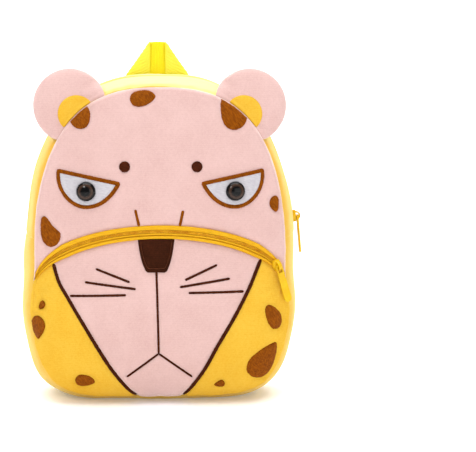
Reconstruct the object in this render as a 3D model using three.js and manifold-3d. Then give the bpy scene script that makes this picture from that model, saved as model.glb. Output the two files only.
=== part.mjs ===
// A toddler's plush backpack with a leopard's face, standing closed on its flat base.
// Millimetres, +Z up, the face looks along -Y. The origin is on the floor, in the middle of the base.
import * as THREE from "three";
import { mergeVertices } from "three/addons/utils/BufferGeometryUtils.js";
import Module from "manifold-3d";

const wasm = await Module();
wasm.setup();
const { lerp, clamp, smoothstep, degToRad } = THREE.MathUtils;
const vec = (x, y, z) => new THREE.Vector3(x, y, z);

// Seams of the bag: depth, half width, height of the middle, and the reach above and below it
const FRONT_SEAM = { y: -30, half: 104, middle: 114, rise: 148, drop: 108.6 };
const BACK_SEAM = { y: 36, half: 109, middle: 115, rise: 155, drop: 112 };
const ROUNDNESS = { above: 2.6, below: 4.8 };
const POCKET_SWELL = { extra: 4, span: 40 };
const GUSSET_BULGE = 8.5;
const FACE_DOME = 15;
const POCKET_BULGE = 12;
const POCKET_RAMP = 56;
const BACK_DOME = 9;
const FLEECE = 2.4;
const LINING = 1.2;
const SEAM_GAP = 0.35;

// Zips: the arch over the pocket, and the long one round the top of the gusset
const POCKET_ZIP = { half: 103, end: 107, rise: 37, power: 1.5, first: 0.04, last: 0.96 };
const UPPER_TAPE = { first: 0.085, last: 0.915 };
const ZIP_BAND = 6;
const ZIP_TAPE = 1;
const COIL = { half: 1.6, height: 1.5 };
const MAIN_ZIP = { join: 12.5, from: 0.42, to: 0.58, sink: 0.8, gap: 0.2 };
const POCKET_SLIDER = { share: 0.895, turn: 38 };
const MAIN_SLIDER = { angle: 18.5 };
const SLIDER = { length: 10, width: 8, height: 3, axis: 4.5 };
const SLIDER_ARCH = { half: 4, rise: 4.4, hole: 2.4, head: 3, web: 2.4 };
const PULL = { length: 32, half: 3.4, arm: 1.5, window: 6.2, thick: 1.6, rim: 1.1, recess: 0.5 };

// Face: ears, eyes and appliques, as x and z on the front
const EAR = { x: 74.4, y: -23, z: 247, radius: 30.7, half: 6.5, lean: 5 };
const INNER_EAR = { radius: 15, inward: 7, down: 5.5, thick: 1 };
const EYE = {
  outer: [84.8, 194.7],
  inner: [33, 184.1],
  low: [61.2, 163.2],
  swing: [12, 13],
  rim: 2.8,
  ball: [61.1, 177.3],
  radius: 7.8,
  height: 4.6,
};
const APPLIQUE = { lift: 0.35, thick: 0.8 };
const BROW_DOT = { x: 29.6, z: 197.4, radius: 4.5 };
const NOSE = { left: -19, right: 11.2, top: 136.6, bottom: 111.6, waist: 2.2, taper: 5.4, corner: 5 };
const NOSE_PAD = { lift: 0.5, thick: 1.8 };
const BRIDGE = { width: 2.4, lines: [[[-21, 162.4], [-18.4, 151.4]], [[18.2, 161.6], [16, 151.4]]] };
const MOUTH = { width: 1.8, fork: [-2.1, 44.8], ends: [[-3.9, 110.6], [-28.2, 24.6], [25.7, 24.2]] };
const BORDER_WIDTH = 2.8;
const BORDERS = {
  left: { zip: 0.162, rim: 259.3, through: [[-72.3, 89.8], [-52.6, 56.2], [-38.7, 32.4], [-24.6, 11.4]] },
  right: { zip: 0.81, rim: 280.2, through: [[68.8, 94], [52.6, 65.8], [37, 33.9], [22.4, 10.4]] },
};
const SPOTS = [
  { name: "spot_crown", x: -14.6, z: 252.6, length: 22, width: 13, tilt: 12, drop: 0.5 },
  { name: "spot_temple_left", x: -65, z: 236.6, length: 20, width: 15, tilt: 55, drop: 0.3 },
  { name: "spot_temple_right", x: 57.5, z: 236, length: 25, width: 17, tilt: 118, drop: 0.4 },
  { name: "spot_cheek_right", x: 95.6, z: 166, length: 14, width: 12, tilt: 90, drop: 0 },
  { name: "spot_cheek_left", x: -91, z: 142, length: 26.5, width: 16, tilt: 106, drop: 1.2 },
  { name: "spot_pocket_left_small", x: -97.7, z: 83.2, length: 7.6, width: 4.8, tilt: 70, drop: 0.2 },
  { name: "spot_pocket_left", x: -101.6, z: 64.5, length: 19, width: 10.5, tilt: -88, drop: 0.7 },
  { name: "spot_pocket_low_left", x: -62.7, z: 21.5, length: 16, width: 8.8, tilt: -8, drop: 0.6 },
  { name: "spot_pocket_right", x: 93.4, z: 72.9, length: 22, width: 12.5, tilt: 120, drop: 0.4 },
  { name: "spot_pocket_low_right", x: 83, z: 36.5, length: 33, width: 22, tilt: 52.6, drop: 1 },
  { name: "spot_pocket_low_small", x: 49.2, z: 17.4, length: 9, width: 5.2, tilt: 190, drop: 0.8 },
];

// Handle: the two edges of its webbing from the left foot to the middle of the loop
const WEBBING = 1.4;
const HANDLE_ROWS = [
  { outer: [-27, 38, 264], inner: [-1.4, 38, 264] },
  { outer: [-26.6, 38, 271], inner: [-1.8, 36.5, 272] },
  { outer: [-23.5, 37.5, 279], inner: [-3, 29, 279] },
  { outer: [-15.5, 35.5, 290], inner: [-6.5, 18, 281] },
  { outer: [-7, 33, 299], inner: [-6.2, 14, 281.5] },
  { outer: [0, 32.5, 301], inner: [0, 13, 282] },
];

// Shoulder straps: the right one from the top seam down, as its middle line, half width and half thickness
const STRAP_ROWS = [
  { z: 268.5, x: 27, y: 41.6, half: 24.6, pad: 2.2 },
  { z: 262, x: 27.6, y: 44.6, half: 25.4, pad: 3.2 },
  { z: 250, x: 29.4, y: 50, half: 26.6, pad: 4.3 },
  { z: 222, x: 34, y: 58.5, half: 27.4, pad: 4.8 },
  { z: 182, x: 39.6, y: 64.5, half: 27.6, pad: 4.8 },
  { z: 140, x: 44.6, y: 65.8, half: 27.2, pad: 4.8 },
  { z: 104, x: 48, y: 62.8, half: 26.8, pad: 4.8 },
  { z: 76, x: 49.6, y: 58.6, half: 26.4, pad: 4.6 },
  { z: 64, x: 51, y: 56.4, half: 24, pad: 4 },
  { z: 58, x: 52.6, y: 55.2, half: 17, pad: 2.6 },
];
const STRAP_SECTION = 10;
const STRAP_WEB_HALF = 15;
const STRAP_WEB_ROWS = [
  { x: 53, y: 55, z: 57.6 },
  { x: 54, y: 51.9, z: 50 },
  { x: 54, y: 51.2, z: 38 },
  { x: 54, y: 54.2, z: 30 },
  { x: 54, y: 57.15, z: 24.6 },
  { x: 54, y: 57.15, z: 18.7 },
  { x: 54, y: 54.3, z: 15.9 },
  { x: 54, y: 51.3, z: 13.3 },
  { x: 53, y: 49.4, z: 8.4 },
  { x: 51, y: 44, z: 4.4 },
  { x: 50, y: 38, z: 4 },
  { x: 50, y: 33, z: 5.5 },
];
const BUCKLE = { x: 54, y: 52.6, z: 5, half: 18.5, height: 40, thick: 3.4, slotHalf: 15.8 };
const BUCKLE_SLOTS = [
  { from: 8, to: 13.8 },
  { from: 19, to: 32.4 },
];

// Outline of the bag in the plane of a seam, as a radius round the seam's middle
function seamRadius(seam, angle) {
  const [c, s] = [Math.abs(Math.cos(angle)), Math.sin(angle)];
  const n = s >= 0 ? ROUNDNESS.above : ROUNDNESS.below;
  const reach = s >= 0 ? seam.rise : seam.drop;
  const radius = ((c / seam.half) ** n + (Math.abs(s) / reach) ** n) ** (-1 / n);
  const below = s < 0 ? Math.asin(-s) / degToRad(POCKET_SWELL.span) : 0;
  const swell = seam === FRONT_SEAM ? POCKET_SWELL.extra : 0;
  return radius + swell * Math.sin(Math.PI * clamp(below, 0, 1)) ** 2;
}

function seamPoint(seam, angle, share = 1) {
  const radius = share * seamRadius(seam, angle);
  return [radius * Math.cos(angle), seam.middle + radius * Math.sin(angle)];
}

// Share of the way from the middle of a seam's outline to its edge
function seamShare(seam, x, z) {
  const up = z - seam.middle;
  return Math.min(1, Math.hypot(x, up) / seamRadius(seam, Math.atan2(up, x)));
}

// The point drawn back along its radius where it lies past a limit of the front seam's outline
function insideSeam([x, z], limit) {
  const up = z - FRONT_SEAM.middle;
  const edge = limit * seamRadius(FRONT_SEAM, Math.atan2(up, x));
  const k = Math.min(1, edge / Math.hypot(x, up));
  return [x * k, FRONT_SEAM.middle + up * k];
}

const pillow = (share) => Math.max(0, 1 - share ** 3) ** 0.6;

// Gusset between the seams: across runs from 0 at the front seam to 1 at the back seam
function gussetPoint(angle, across, sink = 0) {
  const straight = lerp(seamRadius(FRONT_SEAM, angle), seamRadius(BACK_SEAM, angle), across);
  const radius = straight + GUSSET_BULGE * (4 * across * (1 - across)) ** 0.75 - sink;
  const height = lerp(FRONT_SEAM.middle, BACK_SEAM.middle, across) + radius * Math.sin(angle);
  return vec(radius * Math.cos(angle), lerp(FRONT_SEAM.y, BACK_SEAM.y, across), Math.max(0, height));
}

// Arch of the pocket zip in the plane of the face: share 0 at its left end, 1 at its right end
function zipPoint(share) {
  const turn = Math.PI * (1 - share);
  const c = Math.cos(turn);
  const x = POCKET_ZIP.half * Math.sign(c) * Math.abs(c) ** (2 / POCKET_ZIP.power);
  return [x, POCKET_ZIP.end + POCKET_ZIP.rise * Math.sin(turn) ** (2 / POCKET_ZIP.power)];
}

function zipHeight(x) {
  const share = Math.min(1, Math.abs(x) / POCKET_ZIP.half);
  return POCKET_ZIP.end + POCKET_ZIP.rise * (1 - share ** POCKET_ZIP.power) ** (1 / POCKET_ZIP.power);
}

// Point beside the zip, out along the face by offset; positive is above the arch
function besideZip(share, offset, limit = 0.985) {
  const [a, b] = [zipPoint(share - 0.004), zipPoint(share + 0.004)];
  const length = Math.hypot(b[0] - a[0], b[1] - a[1]);
  const [x, z] = zipPoint(share);
  return insideSeam([x - ((b[1] - a[1]) / length) * offset, z + ((b[0] - a[0]) / length) * offset], limit);
}

// Front of the bag: the domed face above the zip and the fuller pocket below it
function frontDepth(x, z) {
  const share = seamShare(FRONT_SEAM, x, z);
  const below = smoothstep((zipHeight(x) - ZIP_BAND - z) / POCKET_RAMP, 0, 1);
  const bulge = POCKET_BULGE * below * Math.sqrt(1 - share ** 6);
  return FRONT_SEAM.y - SEAM_GAP - FACE_DOME * pillow(share) - bulge;
}

function frontNormal(x, z) {
  const step = 0.4;
  const slopeX = (frontDepth(x + step, z) - frontDepth(x - step, z)) / (2 * step);
  const slopeZ = (frontDepth(x, z + step) - frontDepth(x, z - step)) / (2 * step);
  return vec(slopeX, -1, slopeZ).normalize();
}

const onFront = ([x, z], height = 0) =>
  vec(x, frontDepth(x, z), z).addScaledVector(frontNormal(x, z), height);

function backPoint(x, z) {
  return vec(x, BACK_SEAM.y + SEAM_GAP + BACK_DOME * pillow(seamShare(BACK_SEAM, x, z)), z);
}

// Closed solids
function facingOut(points, index) {
  let volume = 0;
  for (let i = 0; i < index.length; i += 3) {
    const [a, b, c] = [points[index[i]], points[index[i + 1]], points[index[i + 2]]];
    volume += a.dot(b.clone().cross(c)) / 6;
  }
  return volume < 0 ? index.toReversed() : index;
}

function solidGeometry(points, index) {
  return new THREE.BufferGeometry().setFromPoints(points).setIndex(facingOut(points, index));
}

function toSolid(geometry) {
  const bare = new THREE.BufferGeometry().setIndex(geometry.index);
  bare.setAttribute("position", geometry.getAttribute("position"));
  const merged = mergeVertices(bare, 1e-3);
  const places = merged.getAttribute("position");
  const points = Array.from({ length: places.count }, (_, i) => vec().fromBufferAttribute(places, i));
  const index = [];
  const corners = merged.index.array;
  for (let i = 0; i < corners.length; i += 3) {
    const [a, b, c] = [corners[i], corners[i + 1], corners[i + 2]];
    if (a !== b && b !== c && a !== c) {
      index.push(a, b, c);
    }
  }
  const vertProperties = new Float32Array(places.array);
  const triVerts = new Uint32Array(facingOut(points, index));
  return new wasm.Manifold(new wasm.Mesh({ numProp: 3, vertProperties, triVerts }));
}

function toGeometry(solid) {
  const mesh = solid.getMesh();
  const geometry = new THREE.BufferGeometry();
  geometry.setAttribute("position", new THREE.BufferAttribute(mesh.vertProperties.slice(), 3));
  return geometry.setIndex(new THREE.BufferAttribute(mesh.triVerts.slice(), 1));
}

// Grid of points over the unit square, place(u, v)
function grid(place, columns, rows) {
  return Array.from({ length: rows + 1 }, (_, j) =>
    Array.from({ length: columns + 1 }, (_, i) => place(i / columns, j / rows)));
}

// The grid moved against its own normals
function inward(points, depth) {
  const [rows, columns] = [points.length - 1, points[0].length - 1];
  return points.map((row, j) => row.map((point, i) => {
    const along = row[Math.min(columns, i + 1)].clone().sub(row[Math.max(0, i - 1)]);
    const across = points[Math.min(rows, j + 1)][i].clone().sub(points[Math.max(0, j - 1)][i]);
    const moved = point.clone().addScaledVector(along.cross(across).normalize(), -depth);
    return moved.setZ(Math.max(moved.z, Math.min(point.z, 0)));
  }));
}

// Solid between two grids of the same size
function slab(outer, inner) {
  const [rows, columns] = [outer.length - 1, outer[0].length - 1];
  const points = [...outer.flat(), ...inner.flat()];
  const under = points.length / 2;
  const at = (i, j) => j * (columns + 1) + i;
  const index = [];
  for (let j = 0; j < rows; j += 1) {
    for (let i = 0; i < columns; i += 1) {
      const [a, b, c, d] = [at(i, j), at(i + 1, j), at(i + 1, j + 1), at(i, j + 1)];
      index.push(a, b, c, a, c, d);
      index.push(under + a, under + c, under + b, under + a, under + d, under + c);
    }
  }
  const rim = [
    ...Array.from({ length: columns }, (_, i) => at(i, 0)),
    ...Array.from({ length: rows }, (_, j) => at(columns, j)),
    ...Array.from({ length: columns }, (_, i) => at(columns - i, rows)),
    ...Array.from({ length: rows }, (_, j) => at(0, rows - j)),
  ];
  rim.forEach((p, k) => {
    const q = rim[(k + 1) % rim.length];
    index.push(q, p, under + p, q, under + p, under + q);
  });
  return solidGeometry(points, index);
}

function cloth(place, columns, rows, wall, trim = (point) => point) {
  const outer = grid(place, columns, rows);
  return slab(outer, inward(outer, wall).map((row) => row.map(trim)));
}

// The inner face of a panel stays on its own side of the seam
const frontTrim = (point) => point.setY(Math.min(point.y, FRONT_SEAM.y - SEAM_GAP));
const backTrim = (point) => point.setY(Math.max(point.y, BACK_SEAM.y + SEAM_GAP));

// Solid through rings of points, closed by a fan at each end
function loft(rings) {
  const count = rings[0].length;
  const points = rings.flat();
  const index = [];
  for (let k = 0; k + 1 < rings.length; k += 1) {
    for (let i = 0; i < count; i += 1) {
      const [a, b] = [k * count + i, k * count + ((i + 1) % count)];
      index.push(a, b, b + count, a, b + count, a + count);
    }
  }
  const last = points.length - count;
  for (let i = 1; i + 1 < count; i += 1) {
    index.push(0, i + 1, i, last, last + i, last + i + 1);
  }
  return solidGeometry(points, index);
}

// Flat patch lying on a surface: place(point, height) lifts a point of the outline's plane onto it
function patch(place, outline, lift, thick, rings) {
  const centre = [0, 1].map((k) => outline.reduce((sum, p) => sum + p[k], 0) / outline.length);
  const layer = (height) => [
    place(centre, height),
    ...Array.from({ length: rings }, (_, r) => outline.map((p) =>
      place([0, 1].map((k) => lerp(centre[k], p[k], (r + 1) / rings)), height))).flat(),
  ];
  const points = [...layer(lift + thick), ...layer(lift)];
  const [count, under] = [outline.length, points.length / 2];
  const index = [];
  for (let i = 0; i < count; i += 1) {
    const next = (i + 1) % count;
    index.push(0, 1 + i, 1 + next, under, under + 1 + next, under + 1 + i);
    for (let r = 1; r < rings; r += 1) {
      const [a, b] = [1 + (r - 1) * count + i, 1 + (r - 1) * count + next];
      const [c, d] = [a + count, b + count];
      index.push(a, c, d, a, d, b, under + a, under + d, under + c, under + a, under + b, under + d);
    }
    const [p, q] = [1 + (rings - 1) * count + i, 1 + (rings - 1) * count + next];
    index.push(q, p, under + p, q, under + p, under + q);
  }
  return solidGeometry(points, index);
}

// Band on a surface between an outline and the same outline drawn in
function band(place, outline, drawnIn, lift, thick) {
  const ring = (points, height) => points.map((p) => place(p, height));
  const count = outline.length;
  const points = [
    ...ring(outline, lift), ...ring(outline, lift + thick),
    ...ring(drawnIn, lift + thick), ...ring(drawnIn, lift),
  ];
  const index = [];
  for (let i = 0; i < count; i += 1) {
    const next = (i + 1) % count;
    for (let k = 0; k < 4; k += 1) {
      const [a, b] = [k * count, ((k + 1) % 4) * count];
      index.push(a + i, a + next, b + next, a + i, b + next, b + i);
    }
  }
  return solidGeometry(points, index);
}

// Line of satin stitch along a curve of the face
function stitchLine(curve, width, columns, lift = APPLIQUE.lift) {
  const edge = (u, v) => {
    const [p, d] = [curve.getPointAt(u), curve.getTangentAt(u)];
    return insideSeam([p.x - d.y * width * (v - 0.5), p.y + d.x * width * (v - 0.5)], 0.985);
  };
  const layer = (height) => grid((u, v) => onFront(edge(u, v), height), columns, 1);
  return slab(layer(lift + APPLIQUE.thick), layer(lift));
}

const flatPoint = ([x, z]) => new THREE.Vector2(x, z);
const asRow = (p) => [p.x, p.y];

// Outline moved in by a distance, corner by corner
function drawIn(outline, distance) {
  const count = outline.length;
  return outline.map((p, i) => {
    const [a, b] = [outline[(i + count - 1) % count], outline[(i + 1) % count]];
    const before = flatPoint([p[0] - a[0], p[1] - a[1]]).normalize();
    const after = flatPoint([b[0] - p[0], b[1] - p[1]]).normalize();
    const normal = flatPoint([-before.y - after.y, before.x + after.x]).normalize();
    const spread = Math.max(0.45, normal.dot(flatPoint([-before.y, before.x])));
    return [p[0] + (normal.x * distance) / spread, p[1] + (normal.y * distance) / spread];
  });
}

// Drop-shaped spot: its point lies along the tilt
function spotOutline({ x, z, length, width, tilt, drop }, count) {
  const [c, s] = [Math.cos(degToRad(tilt)), Math.sin(degToRad(tilt))];
  return Array.from({ length: count }, (_, i) => {
    const turn = (2 * Math.PI * i) / count;
    const along = (length / 2) * Math.cos(turn);
    const across = (width / 2) * Math.sin(turn) * Math.sin(Math.max(turn, 1e-6) / 2) ** drop;
    return insideSeam([x + along * c - across * s, z + along * s + across * c], 0.978);
  });
}

const applique = (spot, count, rings) =>
  patch(onFront, spotOutline(spot, count), APPLIQUE.lift, APPLIQUE.thick, rings);

// Four-sided area of the face between curves that run left to right and bottom to top
function areaPoint(left, right, bottom, top, u, v) {
  return [0, 1].map((k) => {
    const sides = lerp(left(v)[k], right(v)[k], u);
    const ends = lerp(bottom(u)[k], top(u)[k], v);
    const corners = lerp(lerp(left(0)[k], right(0)[k], u), lerp(left(1)[k], right(1)[k], u), v);
    return sides + ends - corners;
  });
}

const bag = new THREE.Group();

function add(name, geometry, color, roughness = 0.9) {
  const mesh = new THREE.Mesh(geometry, new THREE.MeshStandardMaterial({ color, roughness }));
  mesh.name = name;
  bag.add(mesh);
}

const COLOURS = {
  pink: 0xefc9c2,
  yellow: 0xf0c04c,
  brown: 0x8c4a12,
  dark: 0x4a2a1c,
  white: 0xe6e0e2,
  zip: 0xe8ab28,
  web: 0xf2c81e,
  plastic: 0xecb62e,
  eye: 0x1c1512,
};

// Back, gusset and the long zip
const JOIN = degToRad(MAIN_ZIP.join);
const JOIN_GAP = degToRad(MAIN_ZIP.gap);
const overTop = (u) => lerp(Math.PI - JOIN - JOIN_GAP, JOIN + JOIN_GAP, u);
const underBase = (u) => lerp(JOIN, -Math.PI - JOIN, u);
const zipGap = SEAM_GAP / (BACK_SEAM.y - FRONT_SEAM.y);

// Square grid drawn out to the outline of the back
const discPoint = (u, v) => {
  const [a, b] = [1 - 2 * u, 2 * v - 1];
  const sideways = Math.abs(a) >= Math.abs(b);
  const turn = (Math.PI / 4) * (sideways ? b / (a || 1) : 2 - a / b);
  const angle = (sideways ? a : b) < 0 ? Math.PI + turn : turn;
  const share = Math.max(Math.abs(a), Math.abs(b));
  return backPoint(...seamPoint(BACK_SEAM, angle, 1 - (1 - share) ** 1.35));
};
add("back_panel", cloth(discPoint, 10, 10, FLEECE, backTrim), COLOURS.yellow);
const basePoint = (u, v) => gussetPoint(underBase(u), v);
const stripPoint = (from, to, sink) => (u, v) => gussetPoint(overTop(u), lerp(from, to, v), sink);
const tapeStrip = stripPoint(MAIN_ZIP.from + zipGap, MAIN_ZIP.to - zipGap, MAIN_ZIP.sink);
add("gusset_bottom", cloth(basePoint, 28, 5, FLEECE), COLOURS.yellow);
add("gusset_front", cloth(stripPoint(0, MAIN_ZIP.from), 26, 2, FLEECE), COLOURS.yellow);
add("gusset_back", cloth(stripPoint(MAIN_ZIP.to, 1), 26, 2, FLEECE), COLOURS.yellow);
add("main_zip_tape", cloth(tapeStrip, 26, 1, ZIP_TAPE), COLOURS.zip);

// Section of a zip's coil: half round, from one foot over the top to the other
const coilSection = (place) => Array.from({ length: 4 }, (_, i) => {
  const turn = (Math.PI * i) / 3;
  return place(COIL.half * Math.cos(turn), COIL.height * Math.sin(turn));
});
const coilEnd = MAIN_SLIDER.angle + 3.4;
const mainCoil = Array.from({ length: 27 }, (_, k) => {
  const angle = lerp(Math.PI - JOIN - JOIN_GAP, degToRad(coilEnd), k / 26);
  const middle = gussetPoint(angle, 0.5, MAIN_ZIP.sink - SEAM_GAP - 0.2);
  return coilSection((side, up) =>
    middle.clone().add(vec(Math.cos(angle) * up, side, Math.sin(angle) * up)));
});
add("main_zip_coil", loft(mainCoil), COLOURS.zip, 0.6);

// Face above the pocket, and the pocket with its zip
const rimAngle = (from, to) => (u) => seamPoint(FRONT_SEAM, lerp(degToRad(from), degToRad(to), u));
const zipShare = (u) => lerp(POCKET_ZIP.first, POCKET_ZIP.last, u);
const edgeOfBand = ZIP_BAND + SEAM_GAP;
const facePoint = (u, v) => {
  const [low, high] = [besideZip(zipShare(u), edgeOfBand), rimAngle(184, -4)(u)];
  const share = 1 - (1 - v) ** 1.8;
  return onFront([0, 1].map((k) => lerp(low[k], high[k], share)));
};
add("face_panel", cloth(facePoint, 24, 7, FLEECE, frontTrim), COLOURS.pink);

const borderCurve = (side) => new THREE.SplineCurve([
  flatPoint(besideZip(side.zip, -edgeOfBand - 0.2)),
  ...side.through.map(flatPoint),
  flatPoint(seamPoint(FRONT_SEAM, degToRad(side.rim), 0.975)),
]);
const borders = { left: borderCurve(BORDERS.left), right: borderCurve(BORDERS.right) };
const toRim = (side) => flatPoint(seamPoint(FRONT_SEAM, degToRad(side.rim)));
const seamCurve = (side) => new THREE.SplineCurve([
  flatPoint(besideZip(side.zip, -edgeOfBand)),
  ...side.through.map(flatPoint),
  toRim(side),
]);
const seams = { left: seamCurve(BORDERS.left), right: seamCurve(BORDERS.right) };
const beside = (curve, offset) => (v) => {
  const p = curve.getPoint(1 - v);
  return [p.x + offset, p.y];
};
const zipEdge = (from, to) => (u) => besideZip(lerp(from, to, u), -edgeOfBand);
const shifted = (line, offset) => (u) => [line(u)[0] + lerp(offset[0], offset[1], u), line(u)[1]];
const wedge = 2.6;

const muzzlePoint = (u, v) => onFront(areaPoint(
  beside(seams.left, SEAM_GAP),
  beside(seams.right, -SEAM_GAP),
  shifted(rimAngle(BORDERS.left.rim, BORDERS.right.rim), [SEAM_GAP, -SEAM_GAP]),
  shifted(zipEdge(BORDERS.left.zip, BORDERS.right.zip), [SEAM_GAP, -SEAM_GAP]),
  u,
  v ** 1.15,
));
add("muzzle_panel", cloth(muzzlePoint, 10, 14, FLEECE, frontTrim), COLOURS.pink);

// The upper edge of a cheek follows the zip, and ends at the rim just below the end of the zip
const fadeTo = (corner, end, point, share) => [0, 1].map((k) => point[k] + (corner[k] - end[k]) * share);

const leftRim = rimAngle(BORDERS.left.rim - wedge, 187);
const leftZip = (w) => besideZip(lerp(POCKET_ZIP.first, BORDERS.left.zip, w), -edgeOfBand);
const cheekLeftPoint = (u, v) => onFront(areaPoint(
  leftRim,
  beside(seams.left, -SEAM_GAP),
  (w) => [0, 1].map((k) => lerp(leftRim(0)[k], beside(seams.left, -SEAM_GAP)(0)[k], w)),
  (w) => fadeTo(leftRim(1), leftZip(0), leftZip(w), (1 - w) ** 6),
  u ** 1.6,
  v,
));
add("cheek_left", cloth(cheekLeftPoint, 7, 12, FLEECE, frontTrim), COLOURS.yellow);

const rightRim = rimAngle(BORDERS.right.rim + wedge, 353);
const rightZip = (w) => besideZip(lerp(BORDERS.right.zip, POCKET_ZIP.last, w), -edgeOfBand);
const cheekRightPoint = (u, v) => onFront(areaPoint(
  beside(seams.right, SEAM_GAP),
  rightRim,
  (w) => [0, 1].map((k) => lerp(beside(seams.right, SEAM_GAP)(0)[k], rightRim(0)[k], w)),
  (w) => fadeTo(rightRim(1), rightZip(1), rightZip(w), w ** 6),
  1 - (1 - u) ** 1.6,
  v,
));
add("cheek_right", cloth(cheekRightPoint, 7, 12, FLEECE, frontTrim), COLOURS.yellow);

const pocketBackPoint = (u, v) => {
  const rim = seamPoint(FRONT_SEAM, lerp(degToRad(181), degToRad(359), u), 1);
  const pull = 1 - (FLEECE + 0.4) / Math.hypot(rim[0], rim[1] - FRONT_SEAM.middle);
  const low = [rim[0] * pull, FRONT_SEAM.middle + (rim[1] - FRONT_SEAM.middle) * pull];
  const high = besideZip(zipShare(u), ZIP_BAND + 3, 0.965);
  const [x, z] = [0, 1].map((k) => lerp(low[k], high[k], v));
  const flat = FRONT_SEAM.y + 1.6 - 6 * Math.sin(Math.PI * u) * Math.sin(Math.PI * v) ** 2;
  return vec(x, flat, z).lerp(onFront([x, z], -FLEECE - 1.2), smoothstep(v, 0.45, 1));
};
add("pocket_back", cloth(pocketBackPoint, 16, 4, LINING), COLOURS.yellow);

const tape = ({ first, last }, from, to) => (u, v) =>
  onFront(besideZip(lerp(first, last, u), lerp(from, to, v), 0.972), -0.4);
const tapeInner = COIL.half + SEAM_GAP;
const tapeLower = tape(POCKET_ZIP, -ZIP_BAND + 0.6, -tapeInner);
add("pocket_zip_tape_upper", cloth(tape(UPPER_TAPE, tapeInner, ZIP_BAND), 24, 1, ZIP_TAPE), COLOURS.zip);
add("pocket_zip_tape_lower", cloth(tapeLower, 26, 1, ZIP_TAPE), COLOURS.zip);
const pocketCoil = Array.from({ length: 27 }, (_, k) => {
  const share = lerp(POCKET_ZIP.first, POCKET_SLIDER.share - 0.019, k / 26);
  return coilSection((side, up) => onFront(besideZip(share, side), up - 0.7));
});
add("pocket_zip_coil", loft(pocketCoil), COLOURS.zip, 0.6);

// Envelope of the closed bag, grown by a gap: pieces that stand on the bag are cut to it
function envelope(grow) {
  const turns = Array.from({ length: 96 }, (_, i) => (2 * Math.PI * i) / 96);
  const shares = [0.05, 0.4, 0.7, 0.85, 0.93, 0.97, 0.99];
  const front = shares.map((share) => turns.map((turn) =>
    onFront(seamPoint(FRONT_SEAM, turn, share), grow)));
  const side = Array.from({ length: 13 }, (_, j) => turns.map((turn) => gussetPoint(turn, j / 12, -grow)));
  const back = shares.toReversed().map((share) => turns.map((turn) =>
    backPoint(...seamPoint(BACK_SEAM, turn, share)).add(vec(0, grow, 0))));
  return toSolid(loft([...front, ...side, ...back]));
}
const closedBag = envelope(0.45);
const cutToBag = (geometry) => toGeometry(toSolid(geometry).subtract(closedBag));

// Ears: stuffed discs that stand on the front strip of the gusset
const earHalf = (radius) => EAR.half * Math.max(0, 1 - (radius / EAR.radius) ** 2.4) ** 0.55;
const earProfile = Array.from({ length: 11 }, (_, i) => {
  const turn = Math.PI * (i / 10 - 0.5);
  const radius = i % 10 ? EAR.radius * Math.cos(turn) : 0;
  return new THREE.Vector2(radius, Math.sign(turn) * earHalf(radius));
});
for (const [side, sign] of [["left", -1], ["right", 1]]) {
  const stand = new THREE.Matrix4().makeRotationX(degToRad(-EAR.lean));
  stand.setPosition(sign * EAR.x, EAR.y, EAR.z);
  const disc = new THREE.LatheGeometry(earProfile, 20).applyMatrix4(stand);
  add(`ear_${side}`, cutToBag(disc), COLOURS.pink);
  const onEar = ([x, z], height) => vec(x, -earHalf(Math.hypot(x, z)) - height, z).applyMatrix4(stand);
  const round = Array.from({ length: 16 }, (_, i) => {
    const turn = (Math.PI * i) / 8;
    const x = INNER_EAR.radius * Math.cos(turn) - sign * INNER_EAR.inward;
    return [x, INNER_EAR.radius * Math.sin(turn) - INNER_EAR.down];
  });
  add(`inner_ear_${side}`, cutToBag(patch(onEar, round, SEAM_GAP, INNER_EAR.thick, 2)), COLOURS.yellow);
}

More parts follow.
